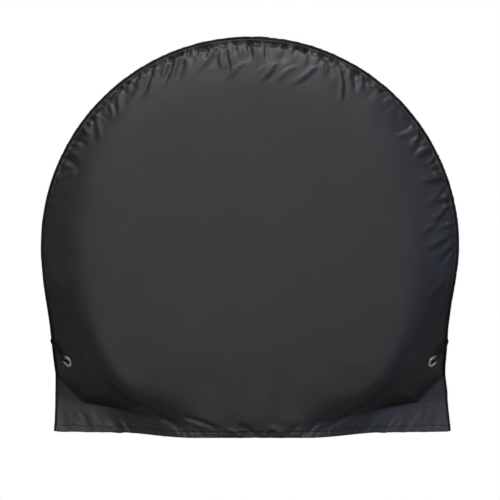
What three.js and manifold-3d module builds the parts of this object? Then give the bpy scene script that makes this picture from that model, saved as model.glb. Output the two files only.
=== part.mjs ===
// Slip-on cover for a caravan or trailer wheel, in the shape it takes on a 29 inch tire.
// Millimetres. The wheel's centre is the origin, the wheel's axle lies along Y, the front
// looks along -Y, X is to the right and Z is up. The cover is open behind and below.
import * as THREE from 'three';
import { mergeVertices } from 'three/addons/utils/BufferGeometryUtils.js';
import Module from 'manifold-3d';

const wasm = await Module();
wasm.setup();

// ---- driving dimensions -------------------------------------------------------------
const GIRTH_RADIUS = 372;       // outside of the cover over the tire's tread
const SIDE_HALF_WIDTH = 360;    // outside, where the sides hang below the tire's middle
const SIDE_EASE = 160;          // height over which the girth narrows to the side's width
const HEM_Z = -337;             // bottom edge
const CLOTH = 1.6;              // thickness given to one layer of coated cloth
const LAYER_GAP = 0.3;          // space between touching layers

const FACE_Y = -118;            // outer face of the flat disc on the tire's sidewall
const FACE_RADIUS = 290;        // where the flat disc starts to slope back
const CORE_RADIUS = 250;        // inner ring of the flat disc's mesh
const SLOPE_POWER = 1.65;       // how the face curves from the disc back to the seam
const RIM_REACH = 40;           // how much further out the face stays flat, low on the tire
const RIM_TURN = 62 * Math.PI / 180; // and how far below the horizontal it does so in full
const RIM_ROOM = 24;            // but it always leaves this much for the slope
const RIM_FADE = [330, 358];    // beyond these radii the slope is as if the face were round
const ARCH_SEAM_Y = -88;        // front seam over the arch
const NECK_SEAM_Y = 8;          // front seam where the tie cords pull it furthest back
const CORNER_SEAM_Y = -22;      // front seam at the hem
const CORNER_POWER = 1.8;       // how the front seam comes forward from there to the hem
const NECK_Z = -238;
const PULL_START_Z = -50;       // height below which the cords draw the seam back
const PULL_POWER = 1.8;         // how the pull grows towards the neck
const SEAM_INSET = 6;           // from the girth in to the seam's piping
const PIPING_RADIUS = 2;

const FRONT_TURN_DEPTH = 12;    // front edge of the side band, from the seam to full girth
const REAR_TURN_Y = 50;         // where the side band starts to turn in behind the tire
const REAR_Y = 116;             // rear edge of the side band
const ARCH_RETURN = 54;         // how far the rear edge stands inside the girth
const HEM_RETURN = 38;          // the same at the hem

const CORNER_BAND = 58;         // height of the hem band at the corners
const MIDDLE_BAND = 13;         // height of the hem band at the middle
const BAND_SET_BACK = 2;        // middle of the band's top line, behind the flat disc
const HEM_SET_BACK = 6;         // middle of the hem, behind the flat disc
const CREASE_START_Z = -240;    // a crease runs from the side seam below the grommet ...
const CREASE_HEM_X = 250;       // ... towards the hem, with a flat corner flap beyond it
const FLAP_LEAN = 0.22;         // how far the flap comes forward for each mm in from the seam
const HEM_LEAN = 0.15;          // the same along the hem
const TOP_LINE_TURN = [75, 262]; // the band's top line goes back to the flap between these x
const HEM_TURN = [95, 235];     // and the hem between these
const BAND_SWEEP_POWER = 1.2;   // how the hem band deepens towards the corners

const PANEL_SPLIT = THREE.MathUtils.degToRad(28);   // side and crown panels meet here
const GROMMET_RAY_Z = -222;     // height at which the line from the centre meets the seam
const GROMMET_RADIUS = 390;     // distance from the wheel's centre, seen from the front
const EYELET_BORE = 6.35;
const EYELET_BARREL = 6.85;
const FLANGE_RADIUS = 12;
const CLOTH_HOLE = 7.2;

const CORD_RADIUS = 2.25;
const CORD_SIDES = 8;
const STOPPER_KNOT_RADIUS = 7.4;
const END_KNOT_RADIUS = 6;
const LOCK_CENTRE = new THREE.Vector3(0, 121.5, -206);
const PRESS = 4;                // travel of the cord lock's button, along -Y

// ---- materials ----------------------------------------------------------------------
const cloth = { color: 0x1d1d20, roughness: 0.55, metalness: 0 };
const innerCloth = { color: 0x232326, roughness: 0.75, metalness: 0 };
const nickel = { color: 0xc9cacc, roughness: 0.22, metalness: 1 };
const cordBlack = { color: 0x101012, roughness: 0.7, metalness: 0 };
const plastic = { color: 0x131315, roughness: 0.4, metalness: 0 };
const springSteel = { color: 0xb4b6b9, roughness: 0.3, metalness: 1 };
const rubberBlack = { color: 0x2a2a2c, roughness: 0.8, metalness: 0 };

const cover = new THREE.Group();

function add(name, geometry, look) {
  const mesh = new THREE.Mesh(geometry, new THREE.MeshStandardMaterial(look));
  mesh.name = name;
  cover.add(mesh);
  return mesh;
}

// ---- closed meshes ------------------------------------------------------------------
function signedVolume(points, faces) {
  const cross = new THREE.Vector3();
  let volume = 0;
  for (const [a, b, c] of faces) {
    volume += cross.crossVectors(points[a], points[b]).dot(points[c]);
  }
  return volume;
}

function closedGeometry(points, faces) {
  const outward = signedVolume(points, faces) > 0;
  const index = faces.flatMap(([a, b, c]) => (outward ? [a, b, c] : [a, c, b]));
  const geometry = new THREE.BufferGeometry().setFromPoints(points);
  geometry.setIndex(index);
  geometry.computeVertexNormals();
  return geometry;
}

// A grid of points, row by row, as an open surface of triangles.
function gridSurface(rows) {
  const width = rows[0].length;
  const faces = [];
  for (let i = 0; i + 1 < rows.length; i += 1) {
    for (let j = 0; j + 1 < width; j += 1) {
      const a = i * width + j;
      faces.push([a, a + width + 1, a + 1], [a, a + width, a + width + 1]);
    }
  }
  return { points: rows.flat(), faces };
}

function surfaceNormals({ points, faces }) {
  const normals = points.map(() => new THREE.Vector3());
  for (const [a, b, c] of faces) {
    const ab = points[b].clone().sub(points[a]);
    const ac = points[c].clone().sub(points[a]);
    const normal = ab.cross(ac);
    [a, b, c].forEach((i) => normals[i].add(normal));
  }
  return normals.map((n) => n.normalize());
}

// A cloth layer: the surface moved along its normals by two distances and closed round
// its edge. Normals point out of the cover, so distances into the cover are negative.
function layer(surface, from, to, normals = surfaceNormals(surface)) {
  const count = surface.points.length;
  const moved = (d) => surface.points.map((p, i) => p.clone().addScaledVector(normals[i], d));
  const points = [...moved(from), ...moved(to)];
  const faces = [];
  const edges = new Map();
  for (const [a, b, c] of surface.faces) {
    faces.push([a, b, c], [a + count, c + count, b + count]);
    for (const [u, v] of [[a, b], [b, c], [c, a]]) {
      edges.set(`${u},${v}`, [u, v]);
    }
  }
  for (const [u, v] of edges.values()) {
    if (!edges.has(`${v},${u}`)) {
      faces.push([v, u, u + count], [v, u + count, v + count]);
    }
  }
  return closedGeometry(points, faces);
}

// Keeps the faces whose points all pass a test, with the whole surface's normals.
function partOfSurface(surface, normals, keep) {
  const used = new Map();
  const points = [];
  const kept = [];
  const faces = [];
  for (const face of surface.faces) {
    if (!face.every((i) => keep(surface.points[i]))) continue;
    faces.push(face.map((i) => {
      if (!used.has(i)) {
        used.set(i, points.length);
        points.push(surface.points[i]);
        kept.push(normals[i]);
      }
      return used.get(i);
    }));
  }
  return { surface: { points, faces }, normals: kept };
}

// A solid through a row of closed loops, with a flat cap on each end.
function loft(loops) {
  const sides = loops[0].length;
  const points = loops.flat();
  const faces = [];
  for (let i = 0; i + 1 < loops.length; i += 1) {
    for (let j = 0; j < sides; j += 1) {
      const a = i * sides + j;
      const b = i * sides + ((j + 1) % sides);
      faces.push([a, b, b + sides], [a, b + sides, a + sides]);
    }
  }
  const last = (loops.length - 1) * sides;
  for (let j = 1; j + 1 < sides; j += 1) {
    faces.push([0, j + 1, j], [last, last + j, last + j + 1]);
  }
  return closedGeometry(points, faces);
}

// A pipe: an outer and an inner row of loops, open at both ends.
function pipe(outer, inner) {
  const sides = outer[0].length;
  const count = outer.length * sides;
  const points = [...outer.flat(), ...inner.flat()];
  const faces = [];
  for (let j = 0; j < sides; j += 1) {
    const k = (j + 1) % sides;
    for (let i = 0; i + 1 < outer.length; i += 1) {
      const a = i * sides + j;
      const b = i * sides + k;
      faces.push([a, b, b + sides], [a, b + sides, a + sides]);
      faces.push([b + count, a + count, a + sides + count]);
      faces.push([b + count, a + sides + count, b + sides + count]);
    }
    const last = (outer.length - 1) * sides;
    faces.push([j, j + count, k + count], [j, k + count, k]);
    faces.push([last + j, last + k, last + k + count]);
    faces.push([last + j, last + k + count, last + j + count]);
  }
  return closedGeometry(points, faces);
}

function toManifold(geometry) {
  const bare = geometry.clone();
  bare.deleteAttribute('normal');
  bare.deleteAttribute('uv');
  const merged = mergeVertices(bare, 1e-4);
  const vertProperties = new Float32Array(merged.attributes.position.array);
  const triVerts = new Uint32Array(merged.index.array);
  return new wasm.Manifold(new wasm.Mesh({ numProp: 3, vertProperties, triVerts }));
}

function fromManifold(solid) {
  const { vertProperties, triVerts } = solid.getMesh();
  const geometry = new THREE.BufferGeometry();
  geometry.setAttribute('position', new THREE.BufferAttribute(vertProperties, 3));
  geometry.setIndex(new THREE.BufferAttribute(triVerts, 1));
  geometry.computeVertexNormals();
  return geometry;
}

// ---- outline of the cover -----------------------------------------------------------
function ease(value) {
  const t = THREE.MathUtils.clamp(value, 0, 1);
  return t * t * (3 - 2 * t);
}

function sideHalfWidth(z) {
  return THREE.MathUtils.lerp(GIRTH_RADIUS, SIDE_HALF_WIDTH, ease(-z / SIDE_EASE));
}

function seamY(z) {
  if (z < NECK_Z) {
    const drop = ((NECK_Z - z) / (NECK_Z - HEM_Z)) ** CORNER_POWER;
    return THREE.MathUtils.lerp(NECK_SEAM_Y, CORNER_SEAM_Y, drop);
  }
  const pull = Math.max(0, (PULL_START_Z - z) / (PULL_START_Z - NECK_Z)) ** PULL_POWER;
  return THREE.MathUtils.lerp(ARCH_SEAM_Y, NECK_SEAM_Y, pull);
}

// A station is a place on the cover's girth: its point, its outward direction in the XZ
// plane, the front seam's depth there and how far the rear edge is drawn in.
function archStation(angle) {
  const x = Math.cos(angle);
  const z = Math.sin(angle);
  return { x: GIRTH_RADIUS * x, z: GIRTH_RADIUS * z, nx: x, nz: z, seam: ARCH_SEAM_Y,
    inset: ARCH_RETURN };
}

function sideStation(side, z) {
  const inset = THREE.MathUtils.lerp(ARCH_RETURN, HEM_RETURN, ease(z / HEM_Z));
  return { x: side * sideHalfWidth(z), z, nx: side, nz: 0, seam: seamY(z), inset };
}

const SIDE_HEIGHTS = [HEM_Z, HEM_Z + CORNER_BAND / 2, HEM_Z + CORNER_BAND, -260, NECK_Z,
  -222, -204, -184, -162, -138, -112, -84, -56, -28];
const ARCH_STEPS = 34;

function archStations(from, to, steps) {
  const angles = Array.from({ length: steps + 1 }, (_, i) => from + ((to - from) * i) / steps);
  return angles.map(archStation);
}

const leftStations = SIDE_HEIGHTS.map((z) => sideStation(-1, z));
const rightStations = SIDE_HEIGHTS.map((z) => sideStation(1, z)).reverse();
const perimeter = [...leftStations, ...archStations(Math.PI, 0, ARCH_STEPS), ...rightStations];

// A point given in a station's own section: out from the girth, and along Y.
function sectionPoint(station, out, y) {
  return new THREE.Vector3(station.x + station.nx * out, y, station.z + station.nz * out);
}

// ---- front panel --------------------------------------------------------------------
// The face's edge stops short of the piping.
const PANEL_EDGE_IN = 2.2;
const PANEL_EDGE_FORWARD = 1.7;

function panelEdge(station) {
  return sectionPoint(station, -SEAM_INSET - PANEL_EDGE_IN, station.seam - PANEL_EDGE_FORWARD);
}

const CORNER = panelEdge(sideStation(1, HEM_Z));
const CREASE_SLANT = (CORNER.x - CREASE_HEM_X) / (CREASE_START_Z - HEM_Z);
const CREASE_REACH = CORNER.x - CREASE_SLANT * CREASE_START_Z;

function creaseX(z) {
  return CREASE_REACH + CREASE_SLANT * z;
}

// The flap between the crease and the side seam.
function flapY(x, z) {
  return seamY(z) - PANEL_EDGE_FORWARD - FLAP_LEAN * (CORNER.x - Math.abs(x));
}

// Where a line from the wheel's centre meets the crease, as a share of its way to the edge.
function creaseShare(edge) {
  return Math.min(1, CREASE_REACH / (Math.abs(edge.x) - CREASE_SLANT * Math.min(0, edge.z)));
}

// The face along a line from the wheel's centre to a point on its edge: it slopes back to
// the crease, or to the edge where there is no crease, and then follows the flap.
function facePoint(edge, radius) {
  const reach = Math.hypot(edge.x, edge.z);
  const share = creaseShare(edge);
  const foot = share < 1 ? flapY(share * edge.x, share * edge.z) : edge.y;
  const fall = (rim) => THREE.MathUtils.clamp(
    (radius - rim) / (share * reach - rim), 0, 1) ** SLOPE_POWER;
  const low = THREE.MathUtils.smoothstep(Math.atan2(-edge.z, Math.abs(edge.x)), 0, RIM_TURN);
  const rim = Math.min(FACE_RADIUS + RIM_REACH * low, share * reach - RIM_ROOM);
  const slope = THREE.MathUtils.lerp(
    fall(rim), fall(FACE_RADIUS), THREE.MathUtils.smoothstep(radius, ...RIM_FADE));
  const flap = Math.max(0, radius / reach - share) / Math.max(1e-6, 1 - share);
  const y = FACE_Y + (foot - FACE_Y) * slope + (edge.y - foot) * flap;
  return new THREE.Vector3((edge.x * radius) / reach, y, (edge.z * radius) / reach);
}

// The face's lower edge, along the band's top line.
function bandTopY(x, z) {
  const turn = THREE.MathUtils.smoothstep(Math.abs(x), ...TOP_LINE_TURN);
  return THREE.MathUtils.lerp(FACE_Y + BAND_SET_BACK, flapY(x, z), turn);
}

function hemY(x) {
  const turn = THREE.MathUtils.smoothstep(Math.abs(x), ...HEM_TURN);
  const flap = CORNER.y - HEM_LEAN * (CORNER.x - Math.abs(x));
  return THREE.MathUtils.lerp(FACE_Y + HEM_SET_BACK, flap, turn);
}

function bandTopZ(x) {
  const share = Math.abs(x / CORNER.x) ** BAND_SWEEP_POWER;
  return HEM_Z + THREE.MathUtils.lerp(MIDDLE_BAND, CORNER_BAND, share);
}

// Columns of the lower edge, from the middle to beyond the crease: x as a share of the
// crease's, then as a share of the flap's width.
const COLUMN_SHARES = [0, 0.2, 0.38, 0.55, 0.7, 0.82, 0.92, 1];
const FLAP_SHARES = [0.5];

function lowerColumns(crease) {
  return [
    ...COLUMN_SHARES.map((share) => crease * share),
    ...FLAP_SHARES.map((share) => THREE.MathUtils.lerp(crease, CORNER.x, share)),
  ];
}

// The crease meets the band's top line, which rises towards the corners.
function bandCreaseX() {
  let x = CORNER.x;
  for (let i = 0; i < 12; i += 1) x = creaseX(bandTopZ(x));
  return x;
}

// Rings of the slope, as shares of the way from the disc to the edge. The last ring inside
// the edge lies on the crease where there is one, and the others are drawn in with it.
const RING_SHARES = [0, 0.2, 0.4, 0.6, 0.8];
const CREASE_RING = 0.92;

function ringRadii(edge) {
  const reach = Math.hypot(edge.x, edge.z);
  const share = creaseShare(edge);
  const crease = share < 1 ? (share * reach - FACE_RADIUS) / (reach - FACE_RADIUS) : CREASE_RING;
  const drawn = Math.min(1, crease / CREASE_RING);
  return [...RING_SHARES.map((ring) => ring * drawn), crease, 1].map(
    (ring) => FACE_RADIUS + (reach - FACE_RADIUS) * ring);
}

function frontSurface() {
  const sides = perimeter.filter((s) => s.z > HEM_Z + CORNER_BAND - 1);
  const rim = sides.map(panelEdge);
  const firstBottom = rim.length;
  const mirrored = (xs) => [...[...xs].reverse(), ...xs.slice(1).map((x) => -x)];
  const hem = mirrored(lowerColumns(CREASE_HEM_X)).map(
    (x) => new THREE.Vector3(x, hemY(x), HEM_Z));
  for (const x of mirrored(lowerColumns(bandCreaseX()))) {
    rim.push(new THREE.Vector3(x, bandTopY(x, bandTopZ(x)), bandTopZ(x)));
  }
  const points = [new THREE.Vector3(0, FACE_Y, 0)];
  for (const edge of rim) {
    points.push(facePoint(edge, CORE_RADIUS));
    for (const radius of ringRadii(edge)) points.push(facePoint(edge, radius));
  }
  const perRay = RING_SHARES.length + 3;
  const at = (ray, ring) => 1 + (ray % rim.length) * perRay + ring;
  const faces = [];
  for (let i = 0; i < rim.length; i += 1) {
    faces.push([0, at(i + 1, 0), at(i, 0)]);
    for (let k = 0; k + 1 < perRay; k += 1) {
      faces.push([at(i, k), at(i + 1, k + 1), at(i, k + 1)]);
      faces.push([at(i, k), at(i + 1, k), at(i + 1, k + 1)]);
    }
  }
  // The skirt below the band's top line flares forward to the hem at its corners.
  const bottom = [firstBottom - 1];
  for (let i = firstBottom; i < rim.length; i += 1) bottom.push(i);
  bottom.push(0);
  const hemRow = [CORNER, ...hem, CORNER.clone().setX(-CORNER.x)];
  let above = bottom.map((ray) => at(ray, perRay - 1));
  for (const share of [0.5, 1]) {
    const row = above.map((_, j) => {
      points.push(rim[bottom[j]].clone().lerp(hemRow[j], share));
      return points.length - 1;
    });
    for (let j = 0; j + 1 < row.length; j += 1) {
      faces.push([above[j], row[j + 1], row[j]], [above[j], above[j + 1], row[j + 1]]);
    }
    above = row;
  }
  return { points, faces };
}

const front = frontSurface();
const frontNormals = surfaceNormals(front);

// ---- grommet places -----------------------------------------------------------------
function sideFacePoint(side, rayZ, radius) {
  return facePoint(panelEdge(sideStation(side, rayZ)), radius);
}

function grommetFrame(side) {
  const origin = sideFacePoint(side, GROMMET_RAY_Z, GROMMET_RADIUS);
  const outward = sideFacePoint(side, GROMMET_RAY_Z, GROMMET_RADIUS + 1).sub(origin);
  const down = sideFacePoint(side, GROMMET_RAY_Z - 1, GROMMET_RADIUS).sub(origin);
  const normal = outward.clone().cross(down).normalize();
  if (normal.y > 0) normal.negate();
  const turn = new THREE.Quaternion().setFromUnitVectors(new THREE.Vector3(0, 1, 0), normal);
  return { origin, normal, turn };
}

const grommets = { left: grommetFrame(-1), right: grommetFrame(1) };

function placeOnGrommet(mesh, grommet) {
  mesh.position.copy(grommet.origin);
  mesh.quaternion.copy(grommet.turn);
}

function grommetDrill({ origin, turn }) {
  const drill = new THREE.CylinderGeometry(CLOTH_HOLE, CLOTH_HOLE, 30, 20);
  return drill.applyQuaternion(turn).translate(origin.x, origin.y, origin.z);
}

function drilled(geometry, places) {
  let solid = toManifold(geometry);
  for (const place of places) solid = solid.subtract(toManifold(grommetDrill(place)));
  return fromManifold(solid);
}

add('front_panel', drilled(layer(front, 0, -CLOTH, frontNormals), Object.values(grommets)),
  cloth);

const frontSkirt = partOfSurface(front, frontNormals, (p) => p.z < bandTopZ(p.x) + 0.1);
add('front_hem_band', layer(frontSkirt.surface, LAYER_GAP, LAYER_GAP + CLOTH,
  frontSkirt.normals), cloth);

// ---- side band: three panels and their hem bands ------------------------------------
const FRONT_TURN = [28, 58, 90].map(THREE.MathUtils.degToRad);
const REAR_TURN = [0, 22, 44, 66, 88].map(THREE.MathUtils.degToRad);

function sideBandSection(station) {
  const turnEnd = station.seam + FRONT_TURN_DEPTH;
  const frontPart = FRONT_TURN.map((a) => sectionPoint(station,
    SEAM_INSET * (Math.sin(a) - 1), station.seam + FRONT_TURN_DEPTH * (1 - Math.cos(a))));
  const middle = sectionPoint(station, 0, (turnEnd + REAR_TURN_Y) / 2);
  const rearPart = REAR_TURN.map((a) => sectionPoint(station,
    station.inset * (Math.cos(a) - 1), REAR_TURN_Y + (REAR_Y - REAR_TURN_Y) * Math.sin(a)));
  return [...frontPart, middle, ...rearPart];
}

function sideBandSurface(stations) {
  return gridSurface(stations.map(sideBandSection));
}

const trim = LAYER_GAP / GIRTH_RADIUS;
const sideArcSteps = 5;
const crownSteps = 24;
const sidePanels = {
  left: [...leftStations, ...archStations(Math.PI, Math.PI - PANEL_SPLIT + trim, sideArcSteps)],
  right: [...archStations(PANEL_SPLIT - trim, 0, sideArcSteps), ...rightStations],
};
const crownStations = archStations(Math.PI - PANEL_SPLIT, PANEL_SPLIT, crownSteps);

add('side_band_crown', layer(sideBandSurface(crownStations), 0, -CLOTH), cloth);
for (const [side, stations] of Object.entries(sidePanels)) {
  const surface = sideBandSurface(stations);
  const normals = surfaceNormals(surface);
  add(`side_band_${side}`, layer(surface, 0, -CLOTH, normals), cloth);
  const hem = partOfSurface(surface, normals, (p) => p.z < HEM_Z + CORNER_BAND + 0.1);
  add(`side_hem_band_${side}`,
    layer(hem.surface, LAYER_GAP, LAYER_GAP + CLOTH, hem.normals), cloth);
}

// ---- long trims that follow the girth -----------------------------------------------
function loopsAlong(stations, section) {
  return stations.map((s) => section(s).map(([out, y]) => sectionPoint(s, out, y)));
}

function roundSection(radius, sides) {
  return (s) => Array.from({ length: sides }, (_, i) => {
    const a = (2 * Math.PI * i) / sides;
    return [-SEAM_INSET + radius * Math.cos(a), s.seam + radius * Math.sin(a)];
  });
}

add('perimeter_piping', loft(loopsAlong(perimeter, roundSection(PIPING_RADIUS, 6))), cloth);

// Tape over the seam's raw edge: a flat strip standing into the cover from the seam.
const BINDING_START = 4.6;
const BINDING_WIDTH = 8;
const BINDING_HALF = 0.9;

function bindingSection(s) {
  const slant = Math.SQRT1_2;
  const place = (along, across) => [-SEAM_INSET - slant * (along + across),
    s.seam + slant * (along - across)];
  return [
    place(BINDING_START, -BINDING_HALF),
    place(BINDING_START + BINDING_WIDTH, -BINDING_HALF),
    place(BINDING_START + BINDING_WIDTH, BINDING_HALF),
    place(BINDING_START, BINDING_HALF),
  ];
}

add('seam_binding', loft(loopsAlong(perimeter, bindingSection)), innerCloth);

// Casing on the rear edge, with a flat elastic inside it.
const CASING_WIDTH = 17;
const CASING_DEPTH = 5.4;
const CASING_WALL = 1.3;
const ELASTIC_WIDTH = 12;
const ELASTIC_DEPTH = 1.8;
const CASING_START = 1.2;       // from the side band's rear edge to the casing

function boxSection(width, depth) {
  return (s) => {
    const middle = -s.inset - CASING_START - CASING_WIDTH / 2;
    const y = REAR_Y - CLOTH / 2;
    return [
      [middle - width / 2, y - depth / 2], [middle + width / 2, y - depth / 2],
      [middle + width / 2, y + depth / 2], [middle - width / 2, y + depth / 2],
    ];
  };
}

const casingInside = boxSection(CASING_WIDTH - 2 * CASING_WALL, CASING_DEPTH - 2 * CASING_WALL);
add('rear_elastic_casing', pipe(
  loopsAlong(perimeter, boxSection(CASING_WIDTH, CASING_DEPTH)),
  loopsAlong(perimeter, casingInside),
), cloth);

add('rear_elastic', loft(loopsAlong(perimeter, boxSection(ELASTIC_WIDTH, ELASTIC_DEPTH))),
  rubberBlack);

// ---- grommets and their patches -----------------------------------------------------
const SEGMENTS = 20;
const PATCH_GAP = 1.8;
const PATCH_FROM = -(CLOTH + PATCH_GAP);
const PATCH_TO = PATCH_FROM - CLOTH;
const WASHER_TOP = PATCH_TO - 0.5;
const WASHER_BOTTOM = WASHER_TOP - 0.9;
const LIP_TOP = WASHER_BOTTOM - 0.3;
const LIP_BOTTOM = LIP_TOP - 0.9;
const FLANGE_UNDER = 0.4;
const FLANGE_TOP = 1.9;

function ringSolid(profile) {
  const closed = [...profile, profile[0]].map(([r, h]) => new THREE.Vector2(r, h));
  return closedFromIndexed(new THREE.LatheGeometry(closed, SEGMENTS));
}

// Merges a three.js geometry's seam points, so that it is one closed mesh.
function closedFromIndexed(geometry) {
  return fromManifold(toManifold(geometry));
}

const eyeletProfile = [
  [EYELET_BORE, LIP_BOTTOM], [8.6, LIP_BOTTOM], [8.6, LIP_TOP], [EYELET_BARREL, LIP_TOP],
  [EYELET_BARREL, FLANGE_UNDER], [FLANGE_RADIUS, FLANGE_UNDER], [FLANGE_RADIUS - 0.2, 1.2],
  [10.8, FLANGE_TOP], [8.2, FLANGE_TOP], [6.9, 1.4], [EYELET_BORE, 0.5],
];
const washerProfile = [
  [CLOTH_HOLE, WASHER_BOTTOM], [11, WASHER_BOTTOM], [11.75, WASHER_BOTTOM + 0.45],
  [11.75, WASHER_TOP], [CLOTH_HOLE, WASHER_TOP],
];

// A cloth patch behind the grommet: rows run in from the seam, below and above the grommet.
const PATCH_ROWS = [-26, -13, 0, 13, 26];
const PATCH_COLUMNS = [45, 36, 27, 20, 13];

function patchSurface(side) {
  return gridSurface(PATCH_ROWS.map((rise) => {
    const edge = panelEdge(sideStation(side, GROMMET_RAY_Z + rise));
    return PATCH_COLUMNS.map((inward) => facePoint(edge, Math.hypot(edge.x, edge.z) - inward));
  }));
}

for (const [side, grommet] of Object.entries(grommets)) {
  const sign = side === 'left' ? -1 : 1;
  const surface = patchSurface(sign);
  const normals = surfaceNormals(surface).map((n) => (n.y > 0 ? n.negate() : n));
  add(`${side}_grommet_patch`, drilled(layer(surface, PATCH_FROM, PATCH_TO, normals), [grommet]),
    innerCloth);
  placeOnGrommet(add(`${side}_grommet_eyelet`, ringSolid(eyeletProfile), nickel), grommet);
  placeOnGrommet(add(`${side}_grommet_washer`, ringSolid(washerProfile), nickel), grommet);
}

// ---- tie cords ----------------------------------------------------------------------
// The right-hand cord, from its stopper knot behind the grommet, out through the eyelet,
// up and over the seam, round the side band, across the open back and down through the
// cord lock to its end knot. The left-hand cord is its mirror image.
const CORD_ROUTE = [
  [318.9, -32.6, -201.7], [321.2, -35.5, -204.9], [322.9, -37.7, -207.1],
  [324.8, -39.6, -208.5], [328.3, -42.3, -209.4], [330.7, -43.8, -209],
  [332.9, -44.9, -208], [335.1, -45.6, -206.4], [336.8, -45.9, -204.3],
  [340.3, -46.1, -199.1], [343.6, -45.8, -193.4], [347.1, -45.9, -187.4],
  [353, -46, -181.2], [358.6, -42.8, -176], [362.4, -35, -171.8],
  [362.8, -18, -166.3], [362.7, 4, -160.2], [362.7, 26, -154.6], [362.8, 47, -150.2],
  [361.7, 64, -147.6], [357.6, 80, -145.6], [348.6, 98.2, -144], [334, 112.6, -143],
  [318, 119.6, -142.8], [303, 121.3, -143.6], [284, 121.5, -145.5],
  [214, 121.5, -154.6], [142, 121.5, -164.5], [76, 121.5, -173.6], [36, 121.5, -179.1],
  [18, 121.5, -181.9], [11, 121.5, -183.7], [6, 121.5, -187.3], [3.4, 121.5, -192.6],
  [2.6, 121.5, -199], [2.6, 121.5, -213], [3.1, 121.5, -223], [4.4, 121.5, -237],
  [6, 121.5, -254], [7.2, 121.5, -270], [7.8, 121.5, -283],
];

// A curve whose steps follow its points, so that bends have more of them.
class RouteCurve extends THREE.CatmullRomCurve3 {
  getPointAt(u, target) {
    return this.getPoint(u, target);
  }

  getTangentAt(u, target) {
    return this.getTangent(u, target);
  }
}

function polygon(radius, sides) {
  const corners = Array.from({ length: sides }, (_, i) => {
    const a = (2 * Math.PI * i) / sides;
    return new THREE.Vector2(radius * Math.cos(a), radius * Math.sin(a));
  });
  return new THREE.Shape(corners);
}

function tube(curve, radius, sides, steps) {
  return new THREE.ExtrudeGeometry(polygon(radius, sides), { steps, extrudePath: curve });
}

function knot(radius, centre) {
  return new THREE.SphereGeometry(radius, 12, 8).translate(centre.x, centre.y, centre.z);
}

function tieCord(sign) {
  const route = CORD_ROUTE.map(([x, y, z]) => new THREE.Vector3(sign * x, y, z));
  const steps = 2 * (route.length - 1);
  const cord = tube(new RouteCurve(route), CORD_RADIUS, CORD_SIDES, steps);
  const solid = toManifold(cord)
    .add(toManifold(knot(STOPPER_KNOT_RADIUS, route[0])))
    .add(toManifold(knot(END_KNOT_RADIUS, route.at(-1))));
  return fromManifold(solid);
}

add('left_tie_cord', tieCord(-1), cordBlack);
add('right_tie_cord', tieCord(1), cordBlack);

// ---- cord lock ----------------------------------------------------------------------
// A barrel along Y with a spring and a button in it. Both cords pass down through it.
const LOCK_SEGMENTS = 20;
const CORD_PASSAGE_WIDTH = 10.4;
const CORD_PASSAGE_DEPTH = 5.2;

function lathe(profile) {
  const points = profile.map(([r, h]) => new THREE.Vector2(r, h));
  return closedFromIndexed(new THREE.LatheGeometry(points, LOCK_SEGMENTS));
}

function slotted(geometry, fromY, toY) {
  const slot = new THREE.BoxGeometry(CORD_PASSAGE_WIDTH, toY - fromY, 30);
  slot.translate(0, (fromY + toY) / 2, 0);
  return fromManifold(toManifold(geometry).subtract(toManifold(slot)));
}

const lockBodyProfile = [
  [0, -14.5], [8.3, -14.5], [9.5, -13.3], [9.5, 9.8], [8.9, 11], [7, 11], [7, -12.5], [0, -12.5],
];
const lockButtonProfile = [
  [0, -4.5], [6.6, -4.5], [6.6, 15.6], [8.2, 15.6], [8.2, 17.6], [7.2, 19], [0, 19],
];
const halfPassage = CORD_PASSAGE_DEPTH / 2;

const lockBody = slotted(lathe(lockBodyProfile), -halfPassage, halfPassage);
add('cord_lock_body', lockBody, plastic).position.copy(LOCK_CENTRE);

const lockButton = slotted(lathe(lockButtonProfile), -halfPassage, halfPassage + PRESS);
add('cord_lock_button', lockButton, plastic).position.copy(LOCK_CENTRE);

// The spring at its rest length, between the barrel's floor and the button.
const SPRING_WIRE = 0.4;
const SPRING_RADIUS = 5;
const SPRING_TURNS = 3;
const SPRING_START = -11.8;
const SPRING_PITCH = 2.2;
const STEPS_PER_TURN = 12;

const springSteps = SPRING_TURNS * STEPS_PER_TURN;
const springPoints = Array.from({ length: springSteps + 1 }, (_, i) => {
  const turn = i / STEPS_PER_TURN;
  const a = 2 * Math.PI * turn;
  return new THREE.Vector3(SPRING_RADIUS * Math.cos(a), SPRING_START + SPRING_PITCH * turn,
    SPRING_RADIUS * Math.sin(a));
});
const spring = tube(new RouteCurve(springPoints), SPRING_WIRE, 5, springSteps);
add('cord_lock_spring', closedFromIndexed(spring), springSteel).position.copy(LOCK_CENTRE);

export default cover;
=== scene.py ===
"""Slip-on spare tire cover: the visual model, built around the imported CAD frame.

Lengths are in millimetres until a mesh is made, and the scene is in metres. The wheel's
centre is the origin, the front looks along -Y, X is to the right and Z is up.
"""
import math

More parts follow.
